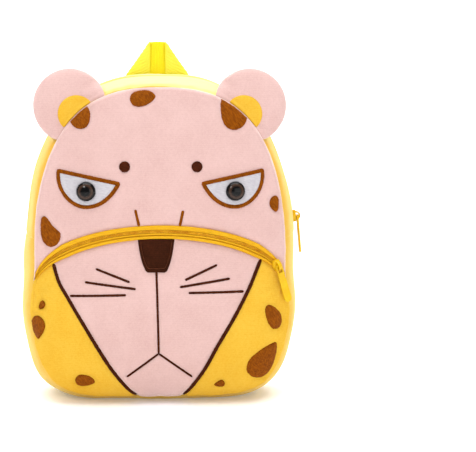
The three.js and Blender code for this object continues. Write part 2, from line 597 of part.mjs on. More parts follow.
// Eyes: a white applique in a brown rim, with a domed plastic eye
for (const [side, sign] of [["left", -1], ["right", 1]]) {
  const lid = new THREE.Shape();
  lid.moveTo(sign * EYE.outer[0], EYE.outer[1]);
  for (let i = 1; i <= 5; i += 1) {
    lid.lineTo(sign * lerp(EYE.outer[0], EYE.inner[0], i / 5), lerp(EYE.outer[1], EYE.inner[1], i / 5));
  }
  lid.bezierCurveTo(
    sign * (EYE.inner[0] + 6), EYE.inner[1] - EYE.swing[0],
    sign * (EYE.low[0] - EYE.swing[0]), EYE.low[1],
    sign * EYE.low[0], EYE.low[1],
  );
  lid.bezierCurveTo(
    sign * (EYE.low[0] + EYE.swing[1]), EYE.low[1],
    sign * (EYE.outer[0] + 2), EYE.outer[1] - 17,
    sign * EYE.outer[0], EYE.outer[1],
  );
  const drawn = lid.getPoints(7).slice(0, -1).map(asRow);
  const outline = sign < 0 ? drawn.toReversed() : drawn;
  const rim = band(onFront, outline, drawIn(outline, EYE.rim), APPLIQUE.lift, APPLIQUE.thick);
  const white = patch(onFront, drawIn(outline, EYE.rim + SEAM_GAP), APPLIQUE.lift, APPLIQUE.thick, 2);
  add(`eye_rim_${side}`, rim, COLOURS.brown);
  add(`eye_white_${side}`, white, COLOURS.white);
  const dome = Array.from({ length: 5 }, (_, i) => {
    const turn = (Math.PI / 2) * (i / 4);
    const radius = i === 4 ? 0 : EYE.radius * Math.cos(turn);
    return new THREE.Vector2(radius, 1 + (EYE.height - 1) * Math.sin(turn));
  });
  const profile = [new THREE.Vector2(0, 0), new THREE.Vector2(EYE.radius, 0), ...dome];
  const ball = [sign * EYE.ball[0], EYE.ball[1]];
  const look = new THREE.Quaternion().setFromUnitVectors(vec(0, 1, 0), frontNormal(...ball));
  const seat = onFront(ball, APPLIQUE.lift + APPLIQUE.thick + SEAM_GAP);
  const eye = new THREE.LatheGeometry(profile, 14).applyQuaternion(look);
  add(`eye_${side}`, toGeometry(toSolid(eye.translate(seat.x, seat.y, seat.z))), COLOURS.eye, 0.15);
  const across = 2 * BROW_DOT.radius;
  const dot = { x: sign * BROW_DOT.x, z: BROW_DOT.z, length: across, width: across, tilt: 0, drop: 0 };
  add(`brow_dot_${side}`, applique(dot, 12, 1), COLOURS.dark);
}

// Nose, bridge lines, mouth and the borders of the muzzle
const noseFoot = { left: NOSE.left + NOSE.taper, right: NOSE.right - NOSE.taper };
const noseWaist = lerp(NOSE.top, NOSE.bottom, 0.6);
const noseSide = NOSE.bottom + NOSE.corner;
const nose = new THREE.Shape();
nose.moveTo(NOSE.left, NOSE.top);
nose.quadraticCurveTo(NOSE.left + NOSE.waist, noseWaist, noseFoot.left, noseSide);
nose.quadraticCurveTo(noseFoot.left + 1, NOSE.bottom, noseFoot.left + NOSE.corner, NOSE.bottom);
nose.lineTo(noseFoot.right - NOSE.corner, NOSE.bottom);
nose.quadraticCurveTo(noseFoot.right - 1, NOSE.bottom, noseFoot.right, noseSide);
nose.quadraticCurveTo(NOSE.right - NOSE.waist, noseWaist, NOSE.right, NOSE.top);
for (let i = 1; i < 4; i += 1) {
  nose.lineTo(lerp(NOSE.right, NOSE.left, i / 4), NOSE.top);
}
const noseOutline = nose.getPoints(3).map(asRow);
add("nose", patch(onFront, noseOutline, NOSE_PAD.lift, NOSE_PAD.thick, 3), COLOURS.dark);
["left", "right"].forEach((side, k) => {
  const [from, to] = BRIDGE.lines[k].map(flatPoint);
  add(`bridge_line_${side}`, stitchLine(new THREE.LineCurve(from, to), BRIDGE.width, 2), COLOURS.brown);
  add(`muzzle_border_${side}`, stitchLine(borders[side], BORDER_WIDTH, 18, 0.5), COLOURS.dark);
});
const strokes = MOUTH.ends.map((end, k) => {
  const past = flatPoint(end).sub(flatPoint(MOUTH.fork)).setLength(-MOUTH.width * 0.3);
  const line = new THREE.LineCurve(flatPoint(MOUTH.fork).add(past), flatPoint(end));
  return toSolid(stitchLine(line, MOUTH.width, k ? 4 : 9));
});
add("mouth", toGeometry(strokes.reduce((a, b) => a.add(b))), COLOURS.dark);
for (const spot of SPOTS) {
  const large = spot.length > 12;
  add(spot.name, applique(spot, large ? 14 : 10, large ? 2 : 1), COLOURS.brown);
}

// Carrying handle: one length of webbing whose two feet are sewn side by side into the back seam
const smooth = (points) => new THREE.CatmullRomCurve3(points, false, "centripetal");
const edgeCurve = (key) => {
  const left = HANDLE_ROWS.map((row) => vec(...row[key]));
  const right = left.slice(0, -1).toReversed().map((p) => vec(-p.x, p.y, p.z));
  return smooth([...left, ...right]);
};
const handleEdges = { outer: edgeCurve("outer"), inner: edgeCurve("inner") };
const handlePoint = (u, v) => handleEdges.inner.getPoint(u).lerp(handleEdges.outer.getPoint(u), v);
add("handle", cutToBag(cloth(handlePoint, 28, 1, WEBBING)), COLOURS.web);

// Shoulder straps with their webbing and ladder-lock buckles
const flip = new THREE.Matrix4().makeScale(-1, 1, 1);
const strapCurve = smooth(STRAP_ROWS.map((row) => vec(row.x, row.y, row.z)));
const strapRings = Array.from({ length: 19 }, (_, k) => {
  const place = (k / 18) * (STRAP_ROWS.length - 1);
  const [row, next] = [STRAP_ROWS[Math.floor(place)], STRAP_ROWS[Math.ceil(place)]];
  const half = lerp(row.half, next.half, place % 1);
  const pad = lerp(row.pad, next.pad, place % 1);
  const middle = strapCurve.getPoint(k / 18);
  const tangent = strapCurve.getTangent(k / 18);
  const out = vec(0, -tangent.z, tangent.y).normalize();
  return Array.from({ length: STRAP_SECTION }, (_, i) => {
    const turn = (2 * Math.PI * (i + 0.5)) / STRAP_SECTION;
    const [c, s] = [Math.cos(turn), Math.sin(turn)];
    const wide = half * Math.sign(c) * Math.abs(c) ** 0.6;
    const deep = pad * Math.sign(s) * Math.abs(s) ** 0.7;
    return middle.clone().add(vec(wide, 0, 0)).addScaledVector(out, deep);
  });
});
const webCurve = smooth(STRAP_WEB_ROWS.map((row) => vec(row.x, row.y, row.z)));
const webRings = Array.from({ length: 34 }, (_, k) => {
  const [middle, tangent] = [webCurve.getPoint(k / 33), webCurve.getTangent(k / 33)];
  const out = vec(0, -tangent.z, tangent.y).normalize();
  return [[1, 1], [-1, 1], [-1, -1], [1, -1]].map(([a, b]) =>
    middle.clone().add(vec(a * STRAP_WEB_HALF, 0, 0)).addScaledVector(out, (b * WEBBING) / 2));
});
const frame = new THREE.Shape();
frame.moveTo(-BUCKLE.half, 9);
frame.lineTo(-BUCKLE.half, BUCKLE.height - 2);
frame.quadraticCurveTo(-BUCKLE.half, BUCKLE.height, -BUCKLE.half + 2, BUCKLE.height);
frame.lineTo(BUCKLE.half - 2, BUCKLE.height);
frame.quadraticCurveTo(BUCKLE.half, BUCKLE.height, BUCKLE.half, BUCKLE.height - 2);
frame.lineTo(BUCKLE.half, 9);
frame.bezierCurveTo(BUCKLE.half - 2, 3, BUCKLE.half - 9, 0, 0, 0);
frame.bezierCurveTo(-BUCKLE.half + 9, 0, -BUCKLE.half + 2, 3, -BUCKLE.half, 9);
for (const { from, to } of BUCKLE_SLOTS) {
  const slot = new THREE.Path();
  slot.moveTo(-BUCKLE.slotHalf, from);
  slot.lineTo(BUCKLE.slotHalf, from);
  slot.lineTo(BUCKLE.slotHalf, to);
  slot.lineTo(-BUCKLE.slotHalf, to);
  frame.holes.push(slot);
}
const upright = new THREE.Matrix4().makeBasis(vec(-1, 0, 0), vec(0, 0, 1), vec(0, 1, 0));
upright.setPosition(BUCKLE.x, BUCKLE.y, BUCKLE.z);
const extruded = (shape, depth) =>
  new THREE.ExtrudeGeometry(shape, { depth, bevelEnabled: false, curveSegments: 5 });
const buckleGeometry = toGeometry(toSolid(extruded(frame, BUCKLE.thick).applyMatrix4(upright)));
const strapPieces = [
  { name: "shoulder_strap", geometry: cutToBag(loft(strapRings)), color: COLOURS.dark, roughness: 0.95 },
  { name: "strap_webbing", geometry: cutToBag(loft(webRings)), color: COLOURS.web, roughness: 0.85 },
  { name: "ladder_lock", geometry: buckleGeometry, color: COLOURS.plastic, roughness: 0.4 },
];
for (const { name, geometry, color, roughness } of strapPieces) {
  add(`${name}_right`, geometry, color, roughness);
  add(`${name}_left`, toGeometry(toSolid(geometry.clone().applyMatrix4(flip))), color, roughness);
}

// Sliders and pulls, drawn with X along the zip, Y across it and Z out of the cloth
const sliderPlate = new THREE.Shape();
sliderPlate.moveTo(-SLIDER.length / 2, -SLIDER.width / 2 + 1.5);
sliderPlate.lineTo(0, -SLIDER.width / 2);
sliderPlate.lineTo(SLIDER.length / 2, -SLIDER.width / 2 + 2);
sliderPlate.lineTo(SLIDER.length / 2, SLIDER.width / 2 - 2);
sliderPlate.lineTo(0, SLIDER.width / 2);
sliderPlate.lineTo(-SLIDER.length / 2, SLIDER.width / 2 - 1.5);
const bridge = new THREE.Shape();
bridge.moveTo(-SLIDER_ARCH.half, 0);
bridge.absellipse(0, 0, SLIDER_ARCH.half, SLIDER_ARCH.rise, Math.PI, 0, true);
bridge.lineTo(SLIDER_ARCH.hole, 0);
bridge.absellipse(0, 0, SLIDER_ARCH.hole, SLIDER_ARCH.head, 0, Math.PI, false);
const standing = new THREE.Matrix4().makeBasis(vec(1, 0, 0), vec(0, 0, 1), vec(0, -1, 0));
standing.setPosition(0, SLIDER_ARCH.web / 2, SLIDER.height - 0.2);
const sliderArch = toSolid(extruded(bridge, SLIDER_ARCH.web).applyMatrix4(standing));
const sliderSolid = toSolid(extruded(sliderPlate, SLIDER.height)).add(sliderArch);

const tab = new THREE.Shape();
tab.moveTo(-0.8, -PULL.half + 0.6);
tab.lineTo(PULL.length - PULL.half, -PULL.half);
tab.absarc(PULL.length - PULL.half, 0, PULL.half, -Math.PI / 2, Math.PI / 2, false);
tab.lineTo(-0.8, PULL.half - 0.6);
const eyeHole = new THREE.Path();
eyeHole.moveTo(0.8, -PULL.half + PULL.arm);
eyeHole.lineTo(PULL.window, -PULL.half + PULL.arm);
eyeHole.lineTo(PULL.window, PULL.half - PULL.arm);
eyeHole.lineTo(0.8, PULL.half - PULL.arm);
tab.holes.push(eyeHole);
const hollow = new THREE.Shape();
hollow.moveTo(PULL.window + 2, -PULL.half + PULL.rim);
hollow.lineTo(PULL.length - PULL.half, -PULL.half + PULL.rim);
hollow.absarc(PULL.length - PULL.half, 0, PULL.half - PULL.rim, -Math.PI / 2, Math.PI / 2, false);
hollow.lineTo(PULL.window + 2, PULL.half - PULL.rim);
const pressed = (shape, depth, height) => toSolid(extruded(shape, depth).translate(0, 0, height));
const pullSolid = pressed(tab, PULL.thick, -PULL.thick / 2)
  .subtract(pressed(hollow, PULL.recess + 1, PULL.thick / 2 - PULL.recess));

// Frame of a slider: along the zip, across it and out of the cloth
function sliderFrame(origin, along, out) {
  const across = out.clone().cross(along).normalize();
  const straight = across.clone().cross(out).normalize();
  return new THREE.Matrix4().makeBasis(straight, across, out).setPosition(origin);
}
function addZipEnd(name, matrix) {
  add(`${name}_slider`, toGeometry(sliderSolid).applyMatrix4(matrix), COLOURS.zip, 0.5);
  const hinge = matrix.clone().multiply(new THREE.Matrix4().makeTranslation(0, 0, SLIDER.axis));
  add(`${name}_pull`, toGeometry(pullSolid).applyMatrix4(hinge), COLOURS.plastic, 0.4);
}
const zipEnd = [-0.004, 0.004].map((step) => onFront(zipPoint(POCKET_SLIDER.share + step)));
const pocketOut = frontNormal(...zipPoint(POCKET_SLIDER.share));
const pocketAlong = zipEnd[1].clone().sub(zipEnd[0]).normalize();
pocketAlong.applyAxisAngle(pocketOut, degToRad(-POCKET_SLIDER.turn));
const pocketOrigin = onFront(zipPoint(POCKET_SLIDER.share), SEAM_GAP + 0.4);
addZipEnd("pocket", sliderFrame(pocketOrigin, pocketAlong, pocketOut));
const mainAngle = degToRad(MAIN_SLIDER.angle);
const mainAlong = gussetPoint(mainAngle - 0.01, 0.5).sub(gussetPoint(mainAngle + 0.01, 0.5)).normalize();
const mainOut = vec(0, 1, 0).cross(mainAlong).negate().normalize();
addZipEnd("main", sliderFrame(gussetPoint(mainAngle, 0.5, -SEAM_GAP), mainAlong, mainOut));

export default bag;
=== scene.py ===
"""A toddler's plush backpack with a leopard's face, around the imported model; sizes in millimetres."""

import math
from contextlib import contextmanager

import bmesh
import bpy
import numpy as np
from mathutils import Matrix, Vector
from mathutils.bvhtree import BVHTree
from mathutils.kdtree import KDTree


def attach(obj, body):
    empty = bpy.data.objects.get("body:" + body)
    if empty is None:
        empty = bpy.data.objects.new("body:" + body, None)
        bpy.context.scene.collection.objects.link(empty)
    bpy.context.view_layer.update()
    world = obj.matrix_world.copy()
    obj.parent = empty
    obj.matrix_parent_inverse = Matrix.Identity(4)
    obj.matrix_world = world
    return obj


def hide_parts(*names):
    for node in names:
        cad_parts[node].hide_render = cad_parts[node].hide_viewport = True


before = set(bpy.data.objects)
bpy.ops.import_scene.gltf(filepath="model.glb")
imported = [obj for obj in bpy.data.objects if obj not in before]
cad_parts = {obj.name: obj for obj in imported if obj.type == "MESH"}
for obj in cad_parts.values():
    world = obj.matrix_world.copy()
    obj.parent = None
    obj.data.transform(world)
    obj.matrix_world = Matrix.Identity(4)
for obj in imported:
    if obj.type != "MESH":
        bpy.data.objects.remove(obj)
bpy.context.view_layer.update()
MM = 0.001
TAU = 2 * math.pi
lerp = lambda a, b, t: a + (b - a) * t

# Seams of the bag: depth, half width, height of the middle, and the reach above and below it
FRONT = {"y": -30.0, "half": 104.0, "middle": 114.0, "rise": 148.0, "drop": 108.6, "swell": 4.0}
BACK = {"y": 36.0, "half": 109.0, "middle": 115.0, "rise": 155.0, "drop": 112.0, "swell": 0.0}
ROUND_ABOVE, ROUND_BELOW = 2.6, 4.8
SWELL_SPAN = 40.0
DEPTH = BACK["y"] - FRONT["y"]
GUSSET_BULGE = 8.5
# The gusset sags at the top; on each side the sag starts at a sine of the angle and grows over a span of it
SAG = {"depth": 3.2, "left": -0.05, "right": 0.34, "span": 0.4}
FACE_DOME = 15.0
POCKET_BULGE = 12.0
POCKET_RAMP = 56.0
BACK_DOME = 9.0
FLEECE = 2.4
SEAM_GAP = 0.35
PILE = 0.5
# Millimetres to the seam for a whole share of the way to it, on the panels and at the ears
SEAM_REACH, EAR_REACH = 110, 144
# Relief of the cloth: rolled edges, dips at stitches, seams and the main zip, folds at the pocket zip's ends
ROLL = {"front": 2.8, "gusset": 1.0, "back": 2.0}
STITCH_DIP = {"height": -0.35, "reach": 2.0}
SEAM_DIP = {"depth": 1.7, "reach": 2.2, "clear": 3}
GROOVE = {"depth": 1.6, "reach": 1.6}
ZIP_LIP = {"rise": 1.3, "reach": 5, "turn": 2.2, "turn_reach": 0.8}
PLEATS = {"count": 11, "reach": 20, "start": 9}
EAR_DIP = {"height": -0.4, "margin": 1, "fade": 3, "across": 0.34, "across_fade": 0.08}
# Unevenness of the cloth, as height and size of its folds: all over, and at an edge with the reach from it
WAVES = {"front": (0.55, 62), "gusset": (0.7, 55), "back": (0.8, 60)}
PUCKER = {"rim": (0.4, 11, 8), "edge": (0.25, 9, 6), "gusset": (0.5, 12, 9), "back": (0.6, 12, 1 / 12)}
CLOTH_SEEDS = {
    "front": 3, "rim": 5, "edge": 7, "gusset_bottom": 11, "gusset_front": 13, "gusset_back": 15, "back": 21,
}
# Cells along and across each grid of cloth
GRIDS = {
    "face": (150, 76), "muzzle": (92, 84), "cheek": (56, 84), "pocket_back": (60, 24),
    "gusset_bottom": (250, 48), "gusset_strip": (230, 26), "back": 110, "main_tape": (240, 10), "ear": 30,
    "handle": 40, "strap": (72, 40),
}

# Zips
ZIP = {"half": 103.5, "end": 99.0, "rise": 44.6, "first": 0.012, "last": 0.988, "slider": 0.872}
ZIP_TAPER = {"start": 0.04, "gain": 4.3, "least": 0.14}
ZIP_BAND = 6.0
ABOVE_BAND, BELOW_BAND = 5.3, -4.8
# Degrees at the rim that a cheek keeps off the muzzle, the panels off the zip's ends and a cheek off the face
WEDGE, CORNER, CHEEK_GAP = 2.6, 7.4, 0.4
# Share of the way to the seam that tape and thread keep inside
TAPE_LIMIT = 0.987
COIL_HALF, COIL_RISE = 1.1, 0.9
MAIN_ZIP = {"join": 12.5, "from": 0.42, "to": 0.58, "sink": 0.8, "gap": 0.2, "slider": 18.5}

# Face
EAR = {
    "x": 74.4, "y": -23.0, "z": 247.0, "radius": 30.7, "half": 6.5, "lean": 5.0, "heart": 6.0,
    "sewn": 14.0, "foot": 2.5,
}
# Rays from an ear's heart that find its outline: how many, and the steps along each
EAR_RAY = {"count": 721, "steps": 231, "step": 0.2}
INNER_EAR = {"radius": 15.5, "inward": 5.5, "down": 6.8, "heart": 6.0, "clear": 1.0025}
EYE = {"outer": (84.9, 195.6), "inner": (32.8, 184.6), "low": (61.2, 163.2), "rim": 2.8}
# How far a corner moves for each millimetre of inset, and the share that the curves' handles lose
EYE_INSET = {"outer": (-0.87, -1.2), "inner": (1.48, -0.72), "low": (0, 1.0), "handles": 0.045}
EYE_HANDLES = {"inner": (6, -12), "low_inner": (-12, 0), "low_outer": (13, 0), "outer": (2, -17)}
EYEBALL = {"x": 61.1, "z": 177.3, "radius": 7.8, "height": 4.6, "seat": 1.0}
BROW_DOT = {"x": 29.6, "z": 197.4, "radius": 4.5}
NOSE = {
    "left": -19.0, "right": 11.2, "top": 138.4, "bottom": 111.4, "waist": 1.6, "taper": 5.4, "corner": 3.4,
}
BRIDGES = {"left": ((-21.0, 162.4), (-17.9, 149.0)), "right": ((18.2, 161.6), (15.5, 149.0))}
MOUTH = {"fork": (-2.1, 44.8), "ends": ((-3.9, 112.8), (-28.2, 24.6), (25.7, 24.2)), "width": 1.9}
BORDERS = {
    "left": {"zip": 0.16, "rim": 259.3, "through": (
        (-83.9, 102.7), (-76.4, 90.3), (-65.0, 71.4), (-53.3, 51.4), (-40.6, 30.7), (-27.6, 13.6))},
    "right": {"zip": 0.808, "rim": 280.2, "through": (
        (75.0, 102.3), (68.4, 89.9), (57.8, 70.8), (46.4, 50.9), (35.6, 30.2), (24.5, 13.2))},
}
WHISKERS = {
    "left_upper": ((-53.5, 114.1), (-25.7, 103.7)),
    "left_middle": ((-62.4, 103.4), (-20.9, 98.3)),
    "left_lower": ((-74.6, 92.2), (-28.8, 93.5)),
    "right_upper": ((46.2, 117.0), (19.5, 105.2)),
    "right_middle": ((56.6, 105.9), (15.1, 99.7)),
    "right_lower": ((67.9, 95.4), (22.3, 95.0)),
}
# Points round each stitched spot; those past the seam are held at it
SPOTS = {
    "spot_crown": (
        (-25.2, 252), (-23.5, 256.8), (-18, 259.2), (-11, 259.6), (-6, 257.6),
        (-4, 254.2), (-7, 250.6), (-12, 247.6), (-18, 246.2), (-22.8, 247.8),
    ),
    "spot_temple_left": (
        (-57.7, 236.4), (-57.5, 240.6), (-59.5, 246), (-64.6, 247), (-69.8, 244.5),
        (-74, 240.5), (-74.5, 235.5), (-72.5, 231.5), (-68.9, 228.7), (-64.6, 228.2),
        (-60.8, 229.9), (-58.6, 233),
    ),
    "spot_temple_right": (
        (72, 239.5), (68.5, 244), (65, 247), (61, 250.5), (52.2, 254.5), (49.6, 250), (49.3, 243),
        (50.2, 237), (51.5, 233.2), (53.8, 229.9), (57.8, 227.6), (63.2, 227.6), (69.5, 231.8),
    ),
    "spot_cheek_right": (
        (97.8, 166.4), (97.6, 170.6), (95.4, 172.9), (92.4, 172), (90.5, 169.4), (90.2, 166.4),
        (90.8, 163.8), (93, 161), (95.6, 159.6), (97.4, 161.4),
    ),
    "spot_cheek_left": (
        (-82.6, 142.7), (-85.6, 146), (-89, 149), (-91.9, 153.2), (-95.2, 156.4), (-98.2, 154.6),
        (-98.8, 146.2), (-98.6, 142.2), (-97.9, 138.6), (-96.1, 134.6), (-91.6, 131.3), (-86, 133),
        (-82.9, 137.6),
    ),
    "spot_pocket_left_small": (
        (-95.4, 83.6), (-95.7, 85.3), (-96.6, 86.8), (-98, 86.7), (-99.3, 85.3),
        (-100.2, 83), (-100.4, 80.9), (-99.4, 80.1), (-97.6, 80.6), (-96, 82),
    ),
    "spot_pocket_left": (
        (-95.6, 66.6), (-96.1, 69.6), (-98, 72.4), (-101.4, 74.2), (-105.4, 72.4), (-107, 68),
        (-106.3, 63.6), (-104.6, 58.8), (-101.5, 54.8), (-98.8, 58.2), (-96.6, 62.4),
    ),
    "spot_pocket_low_left": (
        (-54.6, 20.2), (-57, 23.6), (-61.2, 25.8), (-66.1, 26.3), (-69.4, 24.6),
        (-70.9, 20.9), (-69.2, 17.2), (-65.8, 16), (-61.3, 16.5), (-57, 17.9),
    ),
    "spot_pocket_right": (
        (100.3, 72.1), (99.2, 75.5), (96.4, 79), (92.4, 82.2), (88.2, 83.2), (86, 80), (86.4, 75.6),
        (87.8, 70.6), (89.6, 67), (93.1, 63.4), (98, 63.8), (100.4, 68),
    ),
    "spot_pocket_low_right": (
        (94, 33.2), (96, 41), (96.6, 48), (95.4, 51.6), (91.6, 50.8), (84.8, 47.6), (78.9, 43.7),
        (74.6, 40), (71.6, 35.4), (70.9, 29), (75, 23.6), (80.6, 21.6), (86, 22.4), (91, 27),
    ),
    "spot_pocket_low_small": (
        (53, 17.4), (52.2, 19.6), (50.2, 20.9), (47.8, 19.8), (44.4, 16.8), (46.4, 15.4),
        (49.2, 14.9), (52, 15.2),
    ),
}
SPOT_REACH = 0.996

# Handle and straps; a strap's rows are its middle, half width and half thickness
HANDLE = {
    "foot": 264.0, "low": 271.5, "high": 300.6, "inner": 6.4, "outer": 27.0, "rib": 2.5,
    "root": 38.0, "front": (32.0, 36.2), "rear": (34.2, 37.8),
}
WEBBING = 1.4
STRAP = (
    (26.4, 41.0, 266.6, 22.4, 1.6), (27.6, 44.6, 262, 25.2, 3.2), (29.4, 50, 250, 26.6, 4.3),
    (34, 58.5, 222, 27.4, 4.8), (39.6, 64.5, 182, 27.6, 4.8), (44.6, 65.8, 140, 27.2, 4.8),
    (48, 62.8, 104, 26.8, 4.8), (49.6, 58.6, 76, 26.4, 4.6), (51, 56.4, 64, 24, 4), (52.6, 55.2, 58, 17, 2.6),
)
# A strap's section: how round it is each way, and the usual half width and thickness that space its points
STRAP_OVAL = {"wide": 0.6, "deep": 0.7, "half": 26, "pad": 5}
STRAP_HELD = {"above": 258, "below": 62}
STRAP_FALL = {"from": 225, "span": 40}
STRAP_WEB_HALF = 15.0
STRAP_WEB = (
    (53, 55, 57.6), (54, 51.9, 50), (54, 51.2, 38), (54, 54.2, 30), (54, 57.15, 24.6), (54, 57.15, 18.7),
    (54, 54.3, 15.9), (54, 51.3, 13.3), (53, 49.4, 8.4), (51, 44, 4.4), (50, 38, 4), (50, 33, 5.5),
)


# Surfaces of the bag, as in the part's source
def seam_radius(seam, angle):
    c, s = np.abs(np.cos(angle)), np.sin(angle)
    n = np.where(s >= 0, ROUND_ABOVE, ROUND_BELOW)
    reach = np.where(s >= 0, seam["rise"], seam["drop"])
    radius = ((c / seam["half"]) ** n + (np.abs(s) / reach) ** n) ** (-1 / n)
    below = np.arcsin(np.clip(-s, 0, 1)) / math.radians(SWELL_SPAN)
    return radius + seam["swell"] * np.sin(np.pi * np.clip(below, 0, 1)) ** 2


def seam_point(seam, angle, share=1.0):
    radius = share * seam_radius(seam, angle)
    return radius * np.cos(angle), seam["middle"] + radius * np.sin(angle)


def raw_share(seam, x, z):
    up = z - seam["middle"]
    return np.hypot(x, up) / seam_radius(seam, np.arctan2(up, x))


def seam_share(seam, x, z):
    return np.minimum(1.0, raw_share(seam, x, z))


def inside_seam(x, z, limit):
    k = np.minimum(1.0, limit / np.maximum(1e-9, raw_share(FRONT, x, z)))
    return x * k, FRONT["middle"] + (z - FRONT["middle"]) * k


def pillow(share):
    return np.maximum(0, 1 - share ** 3) ** 0.6


def smooth(t):
    t = np.clip(t, 0, 1)
    return t * t * (3 - 2 * t)


def gusset_point(angle, across, sink=0.0):
    straight = lerp(seam_radius(FRONT, angle), seam_radius(BACK, angle), across)
    full = 4 * across * (1 - across)
    start = np.where(np.cos(angle) < 0, SAG["left"], SAG["right"])
    sag = SAG["depth"] * full * smooth((np.sin(angle) - start) / SAG["span"])
    radius = straight + GUSSET_BULGE * full ** 0.75 - sag - sink
    height = lerp(FRONT["middle"], BACK["middle"], across) + radius * np.sin(angle)
    depth = lerp(FRONT["y"], BACK["y"], across) + 0 * radius
    return np.stack([radius * np.cos(angle), depth, np.maximum(0, height)], -1)


def zip_point(share):
    turn = np.pi * (1 - share)
    return ZIP["half"] * np.cos(turn), ZIP["end"] + ZIP["rise"] * np.sin(turn)


def zip_height(x):
    return ZIP["end"] + ZIP["rise"] * np.sqrt(1 - np.minimum(1, np.abs(x) / ZIP["half"]) ** 2)


def beside_zip(share, offset, limit=TAPE_LIMIT):
    """Place at the side of the zip's middle line; the band narrows towards both ends."""
    ax, az = zip_point(share - 0.004)
    bx, bz = zip_point(share + 0.004)
    length = np.hypot(bx - ax, bz - az)
    x, z = zip_point(share)
    narrow = ZIP_TAPER["start"] + ZIP_TAPER["gain"] * np.minimum(share, 1 - share)
    offset = offset * np.clip(narrow, ZIP_TAPER["least"], 1)
    return inside_seam(x - (bz - az) / length * offset, z + (bx - ax) / length * offset, limit)


def front_depth(x, z):
    share = seam_share(FRONT, x, z)
    below = smooth((zip_height(x) - ZIP_BAND - z) / POCKET_RAMP)
    bulge = POCKET_BULGE * below * np.sqrt(1 - share ** 6)
    return FRONT["y"] - SEAM_GAP - FACE_DOME * pillow(share) - bulge


def unit(vectors):
    return vectors / np.linalg.norm(vectors, axis=-1, keepdims=True)


def front_normal(x, z, step=0.4):
    slope_x = (front_depth(x + step, z) - front_depth(x - step, z)) / (2 * step)
    slope_z = (front_depth(x, z + step) - front_depth(x, z - step)) / (2 * step)
    return unit(np.stack([slope_x, -np.ones_like(slope_x), slope_z], -1))


def on_front(x, z, height=0.0):
    x, z = np.broadcast_arrays(np.asarray(x, float), np.asarray(z, float))
    point = np.stack([x, front_depth(x, z), z], -1)
    return point + front_normal(x, z) * np.asarray(height, float)[..., None]


def ripple(points, size, seed, waves=7):
    """Smooth unevenness of about -1 to 1, with folds about size apart."""
    draw = np.random.default_rng(seed)
    total = np.zeros(points.shape[:-1])
    for _ in range(waves):
        way = draw.normal(size=3)
        way *= TAU / size * draw.uniform(0.7, 1.4) / np.linalg.norm(way)
        total += np.sin(points @ way + draw.uniform(0, TAU))
    return total / math.sqrt(waves * 2)


def uneven(points, seed, height, size, reach=1.0, distance=0.0):
    """Unevenness of a height that fades within a reach of an edge."""
    return height * ripple(points, size, seed) * np.exp(-distance / reach)


def nearest(points, targets):
    """Distance of each point to the nearest target."""
    tree = KDTree(len(targets))
    for i, p in enumerate(targets):
        tree.insert(p, i)
    tree.balance()
    flat = points.reshape(-1, 3)
    return np.array([tree.find(p)[2] for p in flat]).reshape(points.shape[:-1])


# Curves
def hermite(b, c, v, q, w):
    """Curve from b to c with the slopes v and q, at the share w."""
    return (2 * b - 2 * c + v + q) * w ** 3 + (-3 * b + 3 * c - 2 * v - q) * w ** 2 + v * w + b


def spline(points, t):
    """Curve through points, all spans taking the same share of t."""
    p = np.asarray(points, float)
    place = np.asarray(t, float) * (len(p) - 1)
    i = np.minimum(np.floor(place).astype(int), len(p) - 2)
    w = (place - i)[..., None]
    a, b = p[np.maximum(i - 1, 0)], p[i]
    c, d = p[i + 1], p[np.minimum(i + 2, len(p) - 1)]
    return hermite(b, c, (c - a) / 2, (d - b) / 2, w)


def bezier(a, b, c, d, count):
    t = np.linspace(0, 1, count)[:, None]
    a, b, c, d = (np.asarray(p, float) for p in (a, b, c, d))
    return (1 - t) ** 3 * a + 3 * (1 - t) ** 2 * t * b + 3 * (1 - t) * t * t * c + t ** 3 * d


def resample(path, step, closed=False):
    """Points a step apart along a path."""
    path = np.asarray(path, float)
    if closed:
        path = np.concatenate([path, path[:1]])
    along = np.concatenate([[0], np.cumsum(np.linalg.norm(np.diff(path, axis=0), axis=1))])
    count = max(3, int(along[-1] / step))
    at = np.linspace(0, along[-1], count + 1)
    if closed:
        at = at[:-1]
    return np.stack([np.interp(at, along, path[:, k]) for k in range(path.shape[1])], -1)


def unit_grid(columns, rows):
    return np.meshgrid(np.linspace(0, 1, columns + 1), np.linspace(0, 1, rows + 1))


# Meshes
def slab(outer, inner):
    """Closed sheet between two grids of points."""
    count = outer[..., 0].size
    at = np.arange(count).reshape(outer.shape[:2])
    top = np.stack([at[:-1, :-1], at[:-1, 1:], at[1:, 1:], at[1:, :-1]], -1).reshape(-1, 4)
    rim = np.concatenate([at[0, :-1], at[:-1, -1], at[-1, :0:-1], at[:0:-1, 0]])
    ahead = np.roll(rim, -1)
    side = np.stack([ahead, rim, rim + count, ahead + count], -1)
    points = np.concatenate([outer.reshape(-1, 3), inner.reshape(-1, 3)])
    return points, np.concatenate([top, top[:, ::-1] + count, side]).tolist()


def sweep(sections, closed=False):
    """Solid through rings of points; an open one has a cap at each end."""
    rings, around = sections.shape[:2]
    at = np.arange(rings * around).reshape(rings, around)
    if closed:
        at = np.concatenate([at, at[:1]])
    a, b = at[:-1], np.roll(at[:-1], -1, 1)
    c, d = np.roll(at[1:], -1, 1), at[1:]
    faces = np.stack([a, b, c, d], -1).reshape(-1, 4).tolist()
    if not closed:
        faces += [at[0, ::-1].tolist(), at[-1].tolist()]
    return sections.reshape(-1, 3), faces


